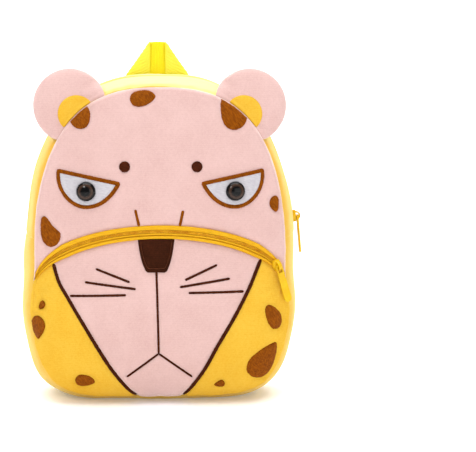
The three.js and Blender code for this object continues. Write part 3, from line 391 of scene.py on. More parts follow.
def patch(outline, place, profile, under):
    """Domed patch: profile is a list of (share of the way to the outline, height)."""
    outline = np.asarray(outline, float)
    centre = outline.mean(0)
    count = len(outline)
    rings = []
    for share, height in profile:
        p = centre + (outline - centre) * share
        rings.append(place(p[:, 0], p[:, 1], np.full(count, height)))
    rings.append(place(outline[:, 0], outline[:, 1], np.full(count, under)))
    p = centre + (outline - centre) * 0.5
    rings.append(place(p[:, 0], p[:, 1], np.full(count, under)))
    return sweep(np.array(rings))


@contextmanager
def editing(mesh):
    shape = bmesh.new()
    shape.from_mesh(mesh)
    yield shape
    shape.to_mesh(mesh)
    shape.free()


def to_object(name, points, faces, sharp=60.0):
    mesh = bpy.data.meshes.new(name)
    mesh.from_pydata((np.asarray(points) * MM).tolist(), [], faces)
    with editing(mesh) as shape:
        bmesh.ops.recalc_face_normals(shape, faces=shape.faces)
    finish_mesh(mesh, sharp)
    made = bpy.data.objects.new(name, mesh)
    bpy.context.scene.collection.objects.link(made)
    return made


def finish_mesh(mesh, sharp):
    mesh.polygons.foreach_set("use_smooth", np.ones(len(mesh.polygons), bool))
    mesh.set_sharp_from_angle(angle=math.radians(sharp))
    mesh.update()


def apply_modifiers(made, sharp):
    graph_now = bpy.context.evaluated_depsgraph_get()
    mesh = bpy.data.meshes.new_from_object(made.evaluated_get(graph_now))
    made.modifiers.clear()
    made.data = mesh
    finish_mesh(mesh, sharp)


def dress(made, look, *nodes, body="bag"):
    """The piece gets its material, rides on a body and stands for CAD nodes."""
    material, slot = look
    made.data.materials.clear()
    made.data.materials.append(material)
    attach(made, body)
    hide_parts(*nodes)
    return made


def piece(name, shape, look, *nodes, sharp=60.0):
    return dress(to_object(name, *shape, sharp), look, *nodes)


def sew(node_name, shape, look):
    """Stitched piece that stands for one node."""
    return piece(f"{node_name}_thread", shape, look, node_name)


# Materials; each look is a material with the record's slot that it stands for
STUDIO_LIGHT, HIGH_LIGHT = 1.38, 1.15
# A band texture repeats once in this many units over its scale
WAVE = 0.314


def tone(red, green, blue, light=STUDIO_LIGHT):
    """Base colour that shows as the given screen colour under the studio's light."""
    line = lambda c: c / 12.92 if c <= 0.04045 else ((c + 0.055) / 1.055) ** 2.4
    return (*(line(c / 255) / light for c in (red, green, blue)), 1.0)


def graph(name, **sockets):
    made = bpy.data.materials.new(name)
    made.use_nodes = True
    shader = made.node_tree.nodes["Principled BSDF"]
    for key, value in sockets.items():
        shader.inputs[key.replace("_", " ")].default_value = value
    return made, shader


def node(tree, kind, links=(), **settings):
    made = tree.nodes.new("ShaderNode" + kind)
    for key, value in settings.items():
        setattr(made, key, value)
    for key, value in dict(links).items():
        if isinstance(value, bpy.types.NodeSocket):
            tree.links.new(value, made.inputs[key])
        else:
            made.inputs[key].default_value = value
    return made


def calc(tree, operation, *values):
    return node(tree, "Math", dict(enumerate(values)), operation=operation).outputs[0]


def span(tree, value, low, high, least, most, kind="LINEAR"):
    """Goes from least to most as a value goes from low to high."""
    links = {"Value": value, "From Min": low, "From Max": high, "To Min": least, "To Max": most}
    return node(tree, "MapRange", links, interpolation_type=kind).outputs["Result"]


def noise(tree, place, scale, detail, rough):
    links = {"Vector": place, "Scale": scale, "Detail": detail, "Roughness": rough}
    return node(tree, "TexNoise", links).outputs["Fac"]


def bands(tree, place, pitch, way, twist):
    links = {"Vector": place, "Scale": WAVE / (pitch * MM), "Distortion": twist, "Detail": 2.0}
    return node(tree, "TexWave", links, wave_type="BANDS", bands_direction=way).outputs["Fac"]


def blend(tree, parts):
    """Weighted sum of sockets."""
    total = None
    for socket, weight in parts:
        part = calc(tree, "MULTIPLY", socket, weight)
        total = part if total is None else calc(tree, "ADD", total, part)
    return total


def ramp(tree, socket, *stops):
    made = node(tree, "ValToRGB", {"Fac": socket})
    table = made.color_ramp.elements
    while len(table) < len(stops):
        table.new(0.5)
    for element, (position, colour) in zip(table, stops):
        element.position = position
        element.color = colour
    return made.outputs["Color"]


def fade(tree, colour, other, socket, low, high, most=1.0):
    """Colour that goes over to another as a socket's value goes from low to high."""
    share = span(tree, socket, low, high, 0, most, "SMOOTHSTEP")
    return node(tree, "MixRGB", {"Fac": share, "Color1": colour, "Color2": other}).outputs["Color"]


def wire(tree, shader, colour, height, depth, strength=1.0, rough=None):
    tree.links.new(colour, shader.inputs["Base Color"])
    links = {"Height": height, "Distance": depth * MM, "Strength": strength}
    tree.links.new(node(tree, "Bump", links).outputs["Normal"], shader.inputs["Normal"])
    if rough:
        low, high, socket = rough
        tree.links.new(span(tree, socket, 0, 1, low, high), shader.inputs["Roughness"])


def turned(tree, angle):
    """Place on the piece, turned about the depth axis."""
    place = node(tree, "TexCoord").outputs["Object"]
    rotation = (0, math.radians(angle), 0)
    return node(tree, "Mapping", {"Vector": place, "Rotation": rotation}).outputs["Vector"]


# Painted shade in the creases at the gusset's seams, stronger higher up under the ears: metres from its
# middle line, and the share at two heights
PAINTED_CREASE_SHADE = {"reach": (0.02, 0.033), "height": (0.08, 0.22), "share": (0.3, 0.9)}
# Painted top light: how level the pile lies where it takes its crown's colour
PAINTED_TOP_LIGHT = (0.35, 0.97)


def plush(name, light, deep, sheen, tint=None, crown=None, slot=None):
    """Short pile: fine fibres, knitted rows, brushed clouds; crown is a painted top light, its colour where
    the pile faces up, and with it comes a painted crease shade at the gusset's seams.
    """
    gloss = {"Sheen_Weight": sheen, "Sheen_Roughness": 0.5, "Sheen_Tint": tint or light}
    made, shader = graph(name, Specular_IOR_Level=0.08, **gloss)
    tree = made.node_tree
    place = turned(tree, 0)
    nap = noise(tree, place, 42, 3, 0.5)
    fibre = noise(tree, place, 1500, 3, 0.7)
    tuft = noise(tree, place, 520, 3, 0.6)
    rows = bands(tree, place, 1.5, "Z", 1.8)
    shade = blend(tree, [(nap, 0.27), (fibre, 0.4), (tuft, 0.28), (rows, 0.05)])
    colour = ramp(tree, shade, (0.3, deep), (0.66, light))
    if crown:
        axes = node(tree, "SeparateXYZ", {0: place}).outputs
        middle = (FRONT["y"] + BACK["y"]) / 2 * MM
        depth = calc(tree, "ABSOLUTE", calc(tree, "SUBTRACT", axes["Y"], middle))
        most = span(tree, axes["Z"], *PAINTED_CREASE_SHADE["height"], *PAINTED_CREASE_SHADE["share"])
        # Painted shade: the pile deepens to orange near the gusset's seams, more so higher up under the ears
        colour = fade(tree, colour, tone(246, 184, 58), depth, *PAINTED_CREASE_SHADE["reach"], most)
        # Painted top light: the pile pales to the crown's colour where it faces up
        level = node(tree, "SeparateXYZ", {0: node(tree, "NewGeometry").outputs["Normal"]}).outputs["Z"]
        colour = fade(tree, colour, crown, level, *PAINTED_TOP_LIGHT)
    height = blend(tree, [(fibre, 0.47), (tuft, 0.47), (rows, 0.06)])
    wire(tree, shader, colour, height, 0.5, 0.7, (0.88, 1.0, fibre))
    return made, slot or name


def satin(name, light, deep, angle, slot=None):
    """Satin stitch: threads that lie side by side in uneven clumps."""
    made, shader = graph(name, Specular_IOR_Level=0.05)
    tree = made.node_tree
    place = turned(tree, angle)
    thread = bands(tree, place, 0.6, "X", 0.8)
    long = node(tree, "Mapping", {"Vector": place, "Scale": (1100, 1100, 190)}).outputs["Vector"]
    strand = noise(tree, long, 1, 2, 0.6)
    patchy = noise(tree, place, 420, 3, 0.65)
    shade = blend(tree, [(strand, 0.6), (patchy, 0.26), (thread, 0.14)])
    colour = ramp(tree, shade, (0.34, deep), (0.64, light))
    height = blend(tree, [(thread, 0.6), (strand, 0.4)])
    wire(tree, shader, colour, height, 0.2, 0.9, (0.5, 0.75, strand))
    return made, slot or name


# Painted light: metres from the handle's middle where its wings begin and take their paler colour
PAINTED_WING_LIGHT = (0.006, 0.0075)


def woven(name, light, deep, pitch, wing=None, slot=None):
    """Webbing or tape: crossing threads; wing is a painted light, a paler colour on the wings at the sides
    than on the band behind them.
    """
    made, shader = graph(name, Specular_IOR_Level=0.12, Sheen_Weight=0.1, Sheen_Tint=light)
    tree = made.node_tree
    place = turned(tree, 0)
    warp = bands(tree, place, pitch, "X", 0.5)
    weft = bands(tree, place, pitch * 0.55, "DIAGONAL", 0.5)
    fuzz = noise(tree, place, 900, 2, 0.6)
    cloud = noise(tree, place, 60, 3, 0.5)
    shade = blend(tree, [(warp, 0.25), (weft, 0.25), (fuzz, 0.3), (cloud, 0.2)])
    colour = ramp(tree, shade, (0.3, deep), (0.64, light))
    if wing:
        side = calc(tree, "ABSOLUTE", node(tree, "SeparateXYZ", {0: place}).outputs["X"])
        # Painted light: the wings at the sides pale over to the wing colour
        colour = fade(tree, colour, wing, side, *PAINTED_WING_LIGHT, 0.7)
    height = blend(tree, [(warp, 0.45), (weft, 0.4), (fuzz, 0.15)])
    wire(tree, shader, colour, height, 0.22, 0.7, (0.6, 0.85, fuzz))
    return made, slot or name


def plastic(name, light, deep, low, high):
    """Moulded plastic: faint flow marks and a fine eggshell grain."""
    made, shader = graph(name, Specular_IOR_Level=0.2)
    tree = made.node_tree
    place = turned(tree, 0)
    grain = noise(tree, place, 1600, 2, 0.5)
    flow = noise(tree, place, 130, 3, 0.5)
    colour = ramp(tree, blend(tree, [(flow, 0.7), (grain, 0.3)]), (0.36, deep), (0.6, light))
    wire(tree, shader, colour, blend(tree, [(grain, 0.6), (flow, 0.4)]), 0.05, 0.5, (low, high, flow))
    return made, name


def eyeball(name, centre, normal, radius):
    """Glossy dome: black pupil, brown iris with fine flecks and a black rim."""
    made, shader = graph(name, Roughness=0.06, Specular_IOR_Level=0.2)
    tree = made.node_tree
    place = node(tree, "TexCoord").outputs["Object"]
    links = {0: place, 1: Vector(centre) * MM}
    offset = node(tree, "VectorMath", links, operation="SUBTRACT").outputs["Vector"]
    links = {0: offset, 1: Vector(normal)}
    flat = node(tree, "VectorMath", links, operation="CROSS_PRODUCT").outputs["Vector"]
    far = node(tree, "VectorMath", {0: flat}, operation="LENGTH").outputs["Value"]
    share = calc(tree, "DIVIDE", far, radius * MM)
    flecks = noise(tree, offset, 900, 4, 0.7)
    edge = blend(tree, [(share, 1.0), (flecks, 0.06)])
    black, brown, warm = tone(6, 6, 7), tone(42, 28, 22), tone(80, 58, 46)
    colour = ramp(tree, edge, (0.48, black), (0.56, brown), (0.74, warm), (0.84, brown), (0.9, black))
    tree.links.new(colour, shader.inputs["Base Color"])
    return made, "eye_plastic"


PINK = plush("pink_fleece", tone(245, 206, 200), tone(222, 178, 171), 1.0, (1.0, 0.94, 0.91, 1.0))
YELLOW = plush("yellow_fleece", tone(255, 209, 78), tone(240, 177, 38), 0.2)
# Pale yellow fleece for the gusset and back; its crown is a painted top light, and it takes a painted crease
# shade near its seams
PALE = plush(
    "pale_yellow_fleece", tone(255, 222, 114), tone(246, 198, 80), 0.3, (1.0, 0.92, 0.6, 1.0),
    tone(255, 244, 160, 1.25), "yellow_fleece",
)
LINING = woven("yellow_lining", tone(240, 190, 80), tone(220, 160, 50), 0.9)
DARK_PLUSH = plush("dark_plush", tone(76, 35, 16), tone(34, 12, 3), 0.1)
STRAP_PLUSH = plush("brown_plush", tone(86, 45, 29), tone(52, 25, 13), 0.25)
BROWN = satin("brown_satin", tone(176, 95, 10), tone(110, 50, 0), 35)
DARK = satin("dark_satin", tone(92, 38, 12), tone(44, 14, 4), 70)
NOSE_THREAD = satin("nose_thread", tone(112, 62, 40), tone(78, 38, 22), 70, "dark_satin")
WHITE = satin("white_satin", tone(228, 224, 228), tone(204, 198, 206), 80)
TAPE = woven("zip_tape", tone(255, 202, 40), tone(238, 164, 14), 0.7)
# The third webbing tone is painted light: the handle's wings paler than the band behind them
WEB_TONES = [tone(*colour, HIGH_LIGHT) for colour in ((255, 244, 50), (255, 228, 26), (255, 246, 100))]
WEB = woven("yellow_webbing", *WEB_TONES[:2], 0.7, WEB_TONES[2])
STRAP_TAPE = woven("strap_webbing_weave", tone(252, 214, 40), tone(240, 188, 18), 0.8, slot="yellow_webbing")
COIL = plastic("zip_coil", tone(252, 190, 36), tone(224, 150, 10), 0.35, 0.5)
ENAMEL = plastic("slider_enamel", tone(255, 204, 18), tone(246, 186, 8), 0.2, 0.35)
MOULDED = plastic("yellow_plastic", tone(255, 210, 26), tone(250, 194, 12), 0.3, 0.45)


# Outlines of the stitched shapes
SIDES = {"left": -1, "right": 1}
# How deep thread goes into the pile
ROOT = -0.7


def spot_outline(points, count=140):
    p = np.asarray(points, float)
    around = np.concatenate([p[-1:], p, p[:2]])
    path = spline(around, (1 + np.arange(count) * len(p) / count) / (len(around) - 1))
    return np.stack(inside_seam(path[:, 0], path[:, 1], SPOT_REACH), -1)


def circle(x, z, radius, count=80):
    turn = np.arange(count) * TAU / count
    return np.stack([x + radius * np.cos(turn), z + radius * np.sin(turn)], -1)


def eye_outline(sign, inset):
    """Outline of an eye: a straight brow and two curves below it."""
    corners = ("outer", "inner", "low")
    outer, inner, low = (np.array(EYE[key]) + np.array(EYE_INSET[key]) * inset for key in corners)
    k = 1 - inset * EYE_INSET["handles"]
    handles = {key: np.array(way) * k for key, way in EYE_HANDLES.items()}
    brow = lerp(outer, inner, np.linspace(0, 1, 40)[:, None])
    nose_side = bezier(inner, inner + handles["inner"], low + handles["low_inner"], low, 40)
    far_side = bezier(low, low + handles["low_outer"], outer + handles["outer"], outer, 40)
    path = np.concatenate([brow[:-1], nose_side[:-1], far_side[:-1]])
    return path * np.array([sign, 1])


def nose_outline():
    n = NOSE
    foot_left, foot_right = n["left"] + n["taper"], n["right"] - n["taper"]
    waist, side = lerp(n["top"], n["bottom"], 0.6), n["bottom"] + n["corner"]
    corners = [
        ((n["left"], n["top"]), (n["left"] + n["waist"], waist), (foot_left, side)),
        ((foot_left, side), (foot_left + 1, n["bottom"]), (foot_left + n["corner"], n["bottom"])),
        ((foot_right - n["corner"], n["bottom"]), (foot_right - 1, n["bottom"]), (foot_right, side)),
        ((foot_right, side), (n["right"] - n["waist"], waist), (n["right"], n["top"])),
    ]
    path = []
    for a, b, c in corners:
        a, b, c = (np.array(p) for p in (a, b, c))
        path.append(bezier(a, lerp(a, b, 2 / 3), lerp(c, b, 2 / 3), c, 16))
    return np.concatenate(path)


def border_path(side, rim_share=0.985):
    row = BORDERS[side]
    first = np.stack(beside_zip(np.array(row["zip"]), BELOW_BAND))
    last = np.stack(seam_point(FRONT, math.radians(row["rim"]), rim_share))
    return np.concatenate([[first], row["through"], [last]])


def ragged(outline, amount, seed):
    """Edge of a stitched shape: each stitch ends a little short or long."""
    draw = np.random.default_rng(seed)
    return outline + unit(outline - outline.mean(0)) * draw.normal(0, amount, (len(outline), 1))


def thread_path(path, width, seed, top=0.75, step=0.34, closed=False, ends=1.0):
    """Line of satin stitch on the front: stitches lie across the path and stand up in the middle."""
    draw = np.random.default_rng(seed)
    p = resample(path, step, closed)
    ahead, behind = np.roll(p, -1, 0), np.roll(p, 1, 0)
    if not closed:
        ahead[-1], behind[0] = p[-1], p[0]
    way = unit(ahead - behind)
    side = np.stack([-way[:, 1], way[:, 0]], -1)
    count = len(p)
    stray = 0.035 * width
    half = np.full(count, width / 2) + draw.normal(0, stray, count).clip(-2 * stray, 2 * stray)
    if not closed:
        tip = np.minimum(np.arange(count), np.arange(count)[::-1]) * step / (ends * width)
        half = half * np.sqrt(np.clip(tip, 0.04, 1) * (2 - np.clip(tip, 0.04, 1)))
    stitch = np.where(np.arange(count) % 2, 1.0, 0.82)
    across = np.array([-1, -0.8, -0.45, 0, 0.45, 0.8, 1])
    crown = (1 - np.abs(across) ** 2.2) ** 0.5
    flat = p[:, None] + side[:, None] * (across[None, :, None] * half[:, None, None])
    height = -0.25 + (top + 0.25) * crown[None] * stitch[:, None]
    upper = on_front(*inside_seam(flat[..., 0], flat[..., 1], TAPE_LIMIT), height)
    below = p[:, None] + side[:, None] * (np.array([0.7, 0, -0.7])[None, :, None] * half[:, None, None])
    lower = on_front(*inside_seam(below[..., 0], below[..., 1], TAPE_LIMIT), np.full(below.shape[:2], ROOT))
    return sweep(np.concatenate([upper, lower], 1), closed)


SPOT_EDGES = {name: spot_outline(points) for name, points in SPOTS.items()}
DOT_EDGES, EYE_EDGES = {}, {}
for side, sign in SIDES.items():
    DOT_EDGES[side] = circle(sign * BROW_DOT["x"], BROW_DOT["z"], BROW_DOT["radius"])
    EYE_EDGES[side] = (eye_outline(sign, 0), eye_outline(sign, EYE["rim"]))
BORDER_PATHS = {side: spline(border_path(side), np.linspace(0, 1, 160)) for side in BORDERS}
MOUTH_PATHS = [np.array([MOUTH["fork"], end]) for end in MOUTH["ends"]]

eye_rims = [pair[0] for pair in EYE_EDGES.values()]
stitched = [*SPOT_EDGES.values(), *DOT_EDGES.values(), *eye_rims, nose_outline()]
shrink = lambda path, share: path.mean(0) + (path - path.mean(0)) * share
stitched = [resample(shrink(path, k / 8), 1.0, True) for path in stitched for k in range(1, 9)]
lines = [*BORDER_PATHS.values(), *MOUTH_PATHS, *WHISKERS.values(), *BRIDGES.values()]
stitched += [resample(path, 0.8) for path in lines]
STITCHES = np.concatenate(stitched)
STITCH_POINTS = np.stack([STITCHES[:, 0], 0 * STITCHES[:, 0], STITCHES[:, 1]], -1)


# Front panels
def puff(distance, quick=1.0, slow=6.0):
    """Rolled edge: nothing at the seam, full a little way in, then flat."""
    return (1 - np.exp(-distance / quick)) * np.exp(-distance / slow)


def pleats(x, z):
    """Folds that run down from both ends of the pocket zip."""
    total = np.zeros_like(x)
    for sign, phase in ((-1, 0.6), (1, 1.9)):
        dx, dz = sign * x - ZIP["half"] + 3, ZIP["end"] - z
        far = np.hypot(dx, dz)
        fold = np.cos(PLEATS["count"] * np.arctan2(-dx, dz) + phase)
        total += fold * np.exp(-far / PLEATS["reach"]) * smooth(far / PLEATS["start"]) * (dz > -4)
    return total


def plush_panel(name, x, z, look, cad, gather=0.0):
    """Panel of the front over a grid of places: stitching pulls the pile down, and its edges roll in."""
    flat = np.stack([x, 0 * x, z], -1)
    edge = np.concatenate([flat[0], flat[-1], flat[:, 0], flat[:, -1]])
    from_edge = nearest(flat, edge)
    from_stitch = nearest(flat, STITCH_POINTS)
    rim = (1 - seam_share(FRONT, x, z)) * SEAM_REACH
    height = PILE + uneven(flat, CLOTH_SEEDS["front"], *WAVES["front"]) + gather * pleats(x, z)
    pucker = uneven(flat, CLOTH_SEEDS["rim"], *PUCKER["rim"], rim)
    height += pucker + uneven(flat, CLOTH_SEEDS["edge"], *PUCKER["edge"], from_edge)
    dip = SEAM_DIP["depth"] * np.exp(-from_edge / SEAM_DIP["reach"])
    height += ROLL["front"] * puff(rim, 1.0, 6.5) - np.where(rim > SEAM_DIP["clear"], dip, 0)
    height = lerp(height, STITCH_DIP["height"], np.exp(-(from_stitch / STITCH_DIP["reach"]) ** 2))
    outer = on_front(x, z, height * (1 - np.exp(-rim / 0.7)))
    inner = on_front(x, z, np.full(x.shape, -FLEECE))
    inner[..., 1] = np.minimum(inner[..., 1], FRONT["y"] - SEAM_GAP)
    return piece(name, slab(outer, inner), look, cad)


def area(left, right, bottom, top, u, v):
    """Four-sided area between curves that run left to right and bottom to top."""
    made = []
    zero, one = np.zeros_like(u), np.ones_like(u)
    for k in (0, 1):
        sides = lerp(left(v)[k], right(v)[k], u)
        ends = lerp(bottom(u)[k], top(u)[k], v)
        low = lerp(left(zero)[k], right(zero)[k], u)
        high = lerp(left(one)[k], right(one)[k], u)
        made.append(sides + ends - lerp(low, high, v))
    return made


def rim_angle(start, end):
    return lambda u: seam_point(FRONT, np.radians(lerp(start, end, u)))


def beside(side, offset):
    path = border_path(side, 1.0)
    def at(v):
        p = spline(path, 1 - v)
        return p[..., 0] + offset, p[..., 1]
    return at


def shifted(line, first, last):
    return lambda u: (line(u)[0] + lerp(first, last, u), line(u)[1])


zip_share = lambda u: lerp(ZIP["first"], ZIP["last"], u)

u, v = unit_grid(*GRIDS["face"])
low, high = beside_zip(zip_share(u), ABOVE_BAND), rim_angle(180 + CORNER, -CORNER)(u)
share = 1 - (1 - v) ** 1.8
places = [lerp(a, b, share) for a, b in zip(low, high)]
face = plush_panel("face_plush", *places, PINK, "face_panel")

u, v = unit_grid(*GRIDS["muzzle"])
zip_edge = lambda start, end: lambda w: beside_zip(lerp(start, end, w), BELOW_BAND)
muzzle_low = shifted(rim_angle(BORDERS["left"]["rim"], BORDERS["right"]["rim"]), SEAM_GAP, -SEAM_GAP)
muzzle_high = shifted(zip_edge(BORDERS["left"]["zip"], BORDERS["right"]["zip"]), SEAM_GAP, -SEAM_GAP)
places = area(beside("left", SEAM_GAP), beside("right", -SEAM_GAP), muzzle_low, muzzle_high, u, v)
muzzle = plush_panel("muzzle_plush", *places, PINK, "muzzle_panel")


def cheek(side):
    """Cheek between the rim and the muzzle; its upper edge runs out into the corner at the zip's end."""
    u, v = unit_grid(*GRIDS["cheek"])
    row, sign = BORDERS[side], SIDES[side]
    zero, one = np.zeros(1), np.ones(1)
    is_left = sign < 0
    corner = 180 + CHEEK_GAP + CORNER if is_left else 360 - CHEEK_GAP - CORNER
    rim = rim_angle(row["rim"] + sign * WEDGE, corner)
    seam = beside(side, sign * SEAM_GAP)
    band = zip_edge(ZIP["first"], row["zip"]) if is_left else zip_edge(row["zip"], ZIP["last"])
    first, last = (rim, seam) if is_left else (seam, rim)
    end = band(zero) if is_left else band(one)
    to_end = lambda w: (1 - w if is_left else w) ** 6
    low = lambda w: [lerp(first(zero)[k], last(zero)[k], w) for k in (0, 1)]
    high = lambda w: [band(w)[k] + (rim(one)[k] - end[k]) * to_end(w) for k in (0, 1)]
    places = area(first, last, low, high, u ** 1.6 if is_left else 1 - (1 - u) ** 1.6, v)
    return plush_panel(f"cheek_{side}_plush", *places, YELLOW, f"cheek_{side}", 0.8)


cheeks = [cheek(side) for side in SIDES]

# Cloth behind the pocket
u, v = unit_grid(*GRIDS["pocket_back"])
rim_x, rim_z = seam_point(FRONT, np.radians(lerp(181, 359, u)))
pull = 1 - (FLEECE + 0.4) / np.hypot(rim_x, rim_z - FRONT["middle"])
top_x, top_z = beside_zip(zip_share(u), ZIP_BAND + 3, 0.965)
x = lerp(rim_x * pull, top_x, v)
z = lerp(FRONT["middle"] + (rim_z - FRONT["middle"]) * pull, top_z, v)
flat = FRONT["y"] + 1.6 - 6 * np.sin(np.pi * u) * np.sin(np.pi * v) ** 2
rise = smooth((v - 0.45) / 0.55)[..., None]
outer = lerp(np.stack([x, flat, z], -1), on_front(x, z, np.full(x.shape, -FLEECE - 1.2)), rise)
inner = outer + np.array([0, 1.2, 0])
piece("pocket_back_cloth", slab(outer, inner), LINING, "pocket_back")


# Gusset and back
def gusset_piece(cad, start, end, near, far, grid):
    """Strip of the gusset: rolled at its seams, and turned under where it runs along the zip."""
    u, v = unit_grid(*GRIDS[grid])
    angle, across = np.radians(lerp(start, end, u)), lerp(near, far, v)
    base = gusset_point(angle, across)
    from_seam = np.minimum(across, 1 - across) * DEPTH
    from_zip = np.minimum(np.abs(across - LIP["front"]), np.abs(across - LIP["back"])) * DEPTH
    from_zip = from_zip + (100 if near == 0 and far == 1 else 0)
    from_end = np.minimum(u, 1 - u) * abs(end - start) * 2
    seed = CLOTH_SEEDS[cad]
    lift = PILE * 0.8 + uneven(base, seed, *WAVES["gusset"])
    lift += uneven(base, seed + 1, *PUCKER["gusset"], from_seam)
    lift += ROLL["gusset"] * puff(from_seam, 0.9) + ZIP_LIP["rise"] * np.exp(-from_zip / ZIP_LIP["reach"])
    lift -= ZIP_LIP["turn"] * np.exp(-from_zip / ZIP_LIP["turn_reach"]) + 0.5 * np.exp(-from_end / 0.8)
    ear = np.hypot(np.abs(base[..., 0]) - EAR["x"], base[..., 2] - EAR["z"])
    under = smooth((EAR["radius"] + EAR_DIP["margin"] - ear) / EAR_DIP["fade"])
    under = under * smooth((EAR_DIP["across"] - across) / EAR_DIP["across_fade"])
    lift = lerp(lift, EAR_DIP["height"], under)
    groove = GROOVE["depth"] * np.exp(-from_seam / GROOVE["reach"]) * (1 - np.exp(-from_seam / 0.4))
    lift = lift * (1 - np.exp(-from_seam / 1.4)) - groove
    outer = gusset_point(angle, across, -lift)
    inner = gusset_point(angle, across, FLEECE)
    inner[..., 2] = np.maximum(inner[..., 2], FLEECE)
    return piece(f"{cad}_plush", slab(outer, inner), PALE, cad)


JOIN, GAP = MAIN_ZIP["join"], MAIN_ZIP["gap"]
LIP = {"front": MAIN_ZIP["from"] + 0.025, "back": MAIN_ZIP["to"] - 0.025}
top_span = (180 - JOIN - 0.02, JOIN + 0.02)
gussets = [
    gusset_piece("gusset_bottom", JOIN, -180 - JOIN, 0, 1, "gusset_bottom"),
    gusset_piece("gusset_front", *top_span, 0, LIP["front"], "gusset_strip"),
    gusset_piece("gusset_back", *top_span, LIP["back"], 1, "gusset_strip"),
]


def disc_grid(count):
    """Square grid drawn out to the outline of the back."""
    u, v = unit_grid(count, count)
    a, b = 1 - 2 * u, 2 * v - 1
    sideways = np.abs(a) >= np.abs(b)
    flat_a, flat_b = np.where(a == 0, 1, a), np.where(b == 0, 1, b)
    turn = np.pi / 4 * np.where(sideways, b / flat_a, 2 - a / flat_b)
    angle = turn + np.where(np.where(sideways, a, b) < 0, np.pi, 0)
    return angle, 1 - (1 - np.maximum(np.abs(a), np.abs(b))) ** 1.35


angle, share = disc_grid(GRIDS["back"])
x, z = seam_point(BACK, angle, share)
flat = np.stack([x, 0 * x, z], -1)
lift = PILE + uneven(flat, CLOTH_SEEDS["back"], *WAVES["back"])
lift += uneven(flat, CLOTH_SEEDS["back"] + 1, *PUCKER["back"], 1 - share)
lift += ROLL["back"] * puff((1 - share) * SEAM_REACH)
depth = BACK["y"] + SEAM_GAP + BACK_DOME * pillow(share)
outer = np.stack([x, depth + lift * (1 - share ** 12), z], -1)
inner = np.stack([x, np.maximum(BACK["y"] + SEAM_GAP, depth - FLEECE) - 0.02, z], -1)
back = piece("back_plush", slab(outer, inner), PALE, "back_panel")


# Zips
def tape_band(part, near, far, profile):
    """Woven tape beside the coil; profile gives its height across, from near to far."""
    count = 300
    share = np.linspace(ZIP["first"], ZIP["last"], count)[:, None]
    t = np.linspace(0, 1, 23)[None]
    x, z = beside_zip(share + 0 * t, lerp(near, far, t) + 0 * share)
    crown = np.interp(t, *zip(*profile))
    upper = on_front(x, z, crown + 0 * share)
    under = lerp(near, far, np.array([[0.85, 0.5, 0.15]]))
    lower = on_front(*beside_zip(share + 0 * under, under + 0 * share), np.full((count, 3), -1.6))
    shape = sweep(np.concatenate([upper, lower], 1))
    return piece(f"pocket_tape_{part}_cloth", shape, TAPE, f"pocket_zip_tape_{part}")


TAPE_INNER = {"upper": 1.9, "lower": -0.2}
UPPER_PROFILE = ((0, -0.8), (0.08, 0.4), (0.16, 0.9), (0.35, 1.1), (0.75, 1.1), (0.9, 0.8), (1, -0.5))
LOWER_PROFILE = (
    (0, -0.6), (0.08, 0.8), (0.2, 1.5), (0.42, 1.5), (0.54, 0.9), (0.58, -0.5), (0.64, -0.5),
    (0.69, 0.9), (0.8, 1.2), (0.92, 1.0), (0.97, 0.2), (1, -0.8),
)
tape_band("upper", TAPE_INNER["upper"], ZIP_BAND, UPPER_PROFILE)
tape_band("lower", 0.6 - ZIP_BAND, TAPE_INNER["lower"], LOWER_PROFILE)


def teeth(part, count, place):
    """Coil of a closed zip: loops from both sides meet in the middle, half a pitch apart."""
    step = np.arange(count)[:, None]
    t = np.linspace(-1, 1, 9)[None]
    phase = TAU * step / 5
    loop = np.where(t < 0, np.cos(phase), np.cos(phase + np.pi))
    loop = np.where(np.abs(t) < 0.2, -1.0, np.sign(loop) * np.abs(loop) ** 0.6)
    height = 0.3 + 0.7 * np.sqrt(1 - 0.85 * t * t) + 0.6 * loop * (1 - t ** 8)
    upper = place(step + 0 * t, t * COIL_HALF + 0 * step, height)
    under = np.array([[0.8, -0.8]]) * COIL_HALF
    lower = place(step + 0 * under, under + 0 * step, np.zeros((count, 2)))
    shape = sweep(np.concatenate([upper, lower], 1))
    return piece(f"{part}_coil_teeth", shape, COIL, f"{part}_zip_coil", sharp=80)


ZIP_COUNT, MAIN_COUNT = 620, 1300
coil_span = (0.03, ZIP["slider"] - 0.018)


def pocket_coil(step, side, up):
    share = lerp(*coil_span, step / (ZIP_COUNT - 1))
    return on_front(*beside_zip(share, side + COIL_RISE), up - 0.4)


def main_coil(step, side, up):
    angle = np.radians(lerp(180 - JOIN - GAP, MAIN_ZIP["slider"] + 3.4, step / (MAIN_COUNT - 1)))
    return gusset_point(angle, 0.5 + side / DEPTH, MAIN_ZIP["sink"] + 0.7 - up)


teeth("pocket", ZIP_COUNT, pocket_coil)
teeth("main", MAIN_COUNT, main_coil)
u, v = unit_grid(*GRIDS["main_tape"])
angle = np.radians(lerp(*top_span, u))
across = lerp(MAIN_ZIP["from"] + 0.006, MAIN_ZIP["to"] - 0.006, v)
outer = gusset_point(angle, across, MAIN_ZIP["sink"] + 0.7 - 0.1 * np.cos(TAU * v * 5))
inner = gusset_point(angle, across, MAIN_ZIP["sink"] + 1.7)
piece("main_tape_cloth", slab(outer, inner), TAPE, "main_zip_tape")

# Stitched shapes; their profiles are pairs of the share of the way to the outline and the height there
FILL = (
    (0.02, 1.0), (0.3, 1.02), (0.55, 0.98), (0.75, 0.95),
    (0.88, 0.85), (0.95, 0.62), (0.985, 0.3), (1.0, -0.2),
)
PAD = (
    (0.02, 2.6), (0.25, 2.55), (0.5, 2.35), (0.7, 2.0),
    (0.85, 1.55), (0.94, 1.0), (0.985, 0.4), (1.0, -0.2),
)
THREAD = {"bridge": 2.4, "border": 3.0, "whisker": 2.0, "nose": 0.9}
SEEDS = {
    "spot": 40, "dot": 60, "rim": 70, "bridge": 80, "border": 90, "whisker": 100, "mouth": 110, "nose": 120,
}
higher = lambda share: [(s, h * share) for s, h in FILL]

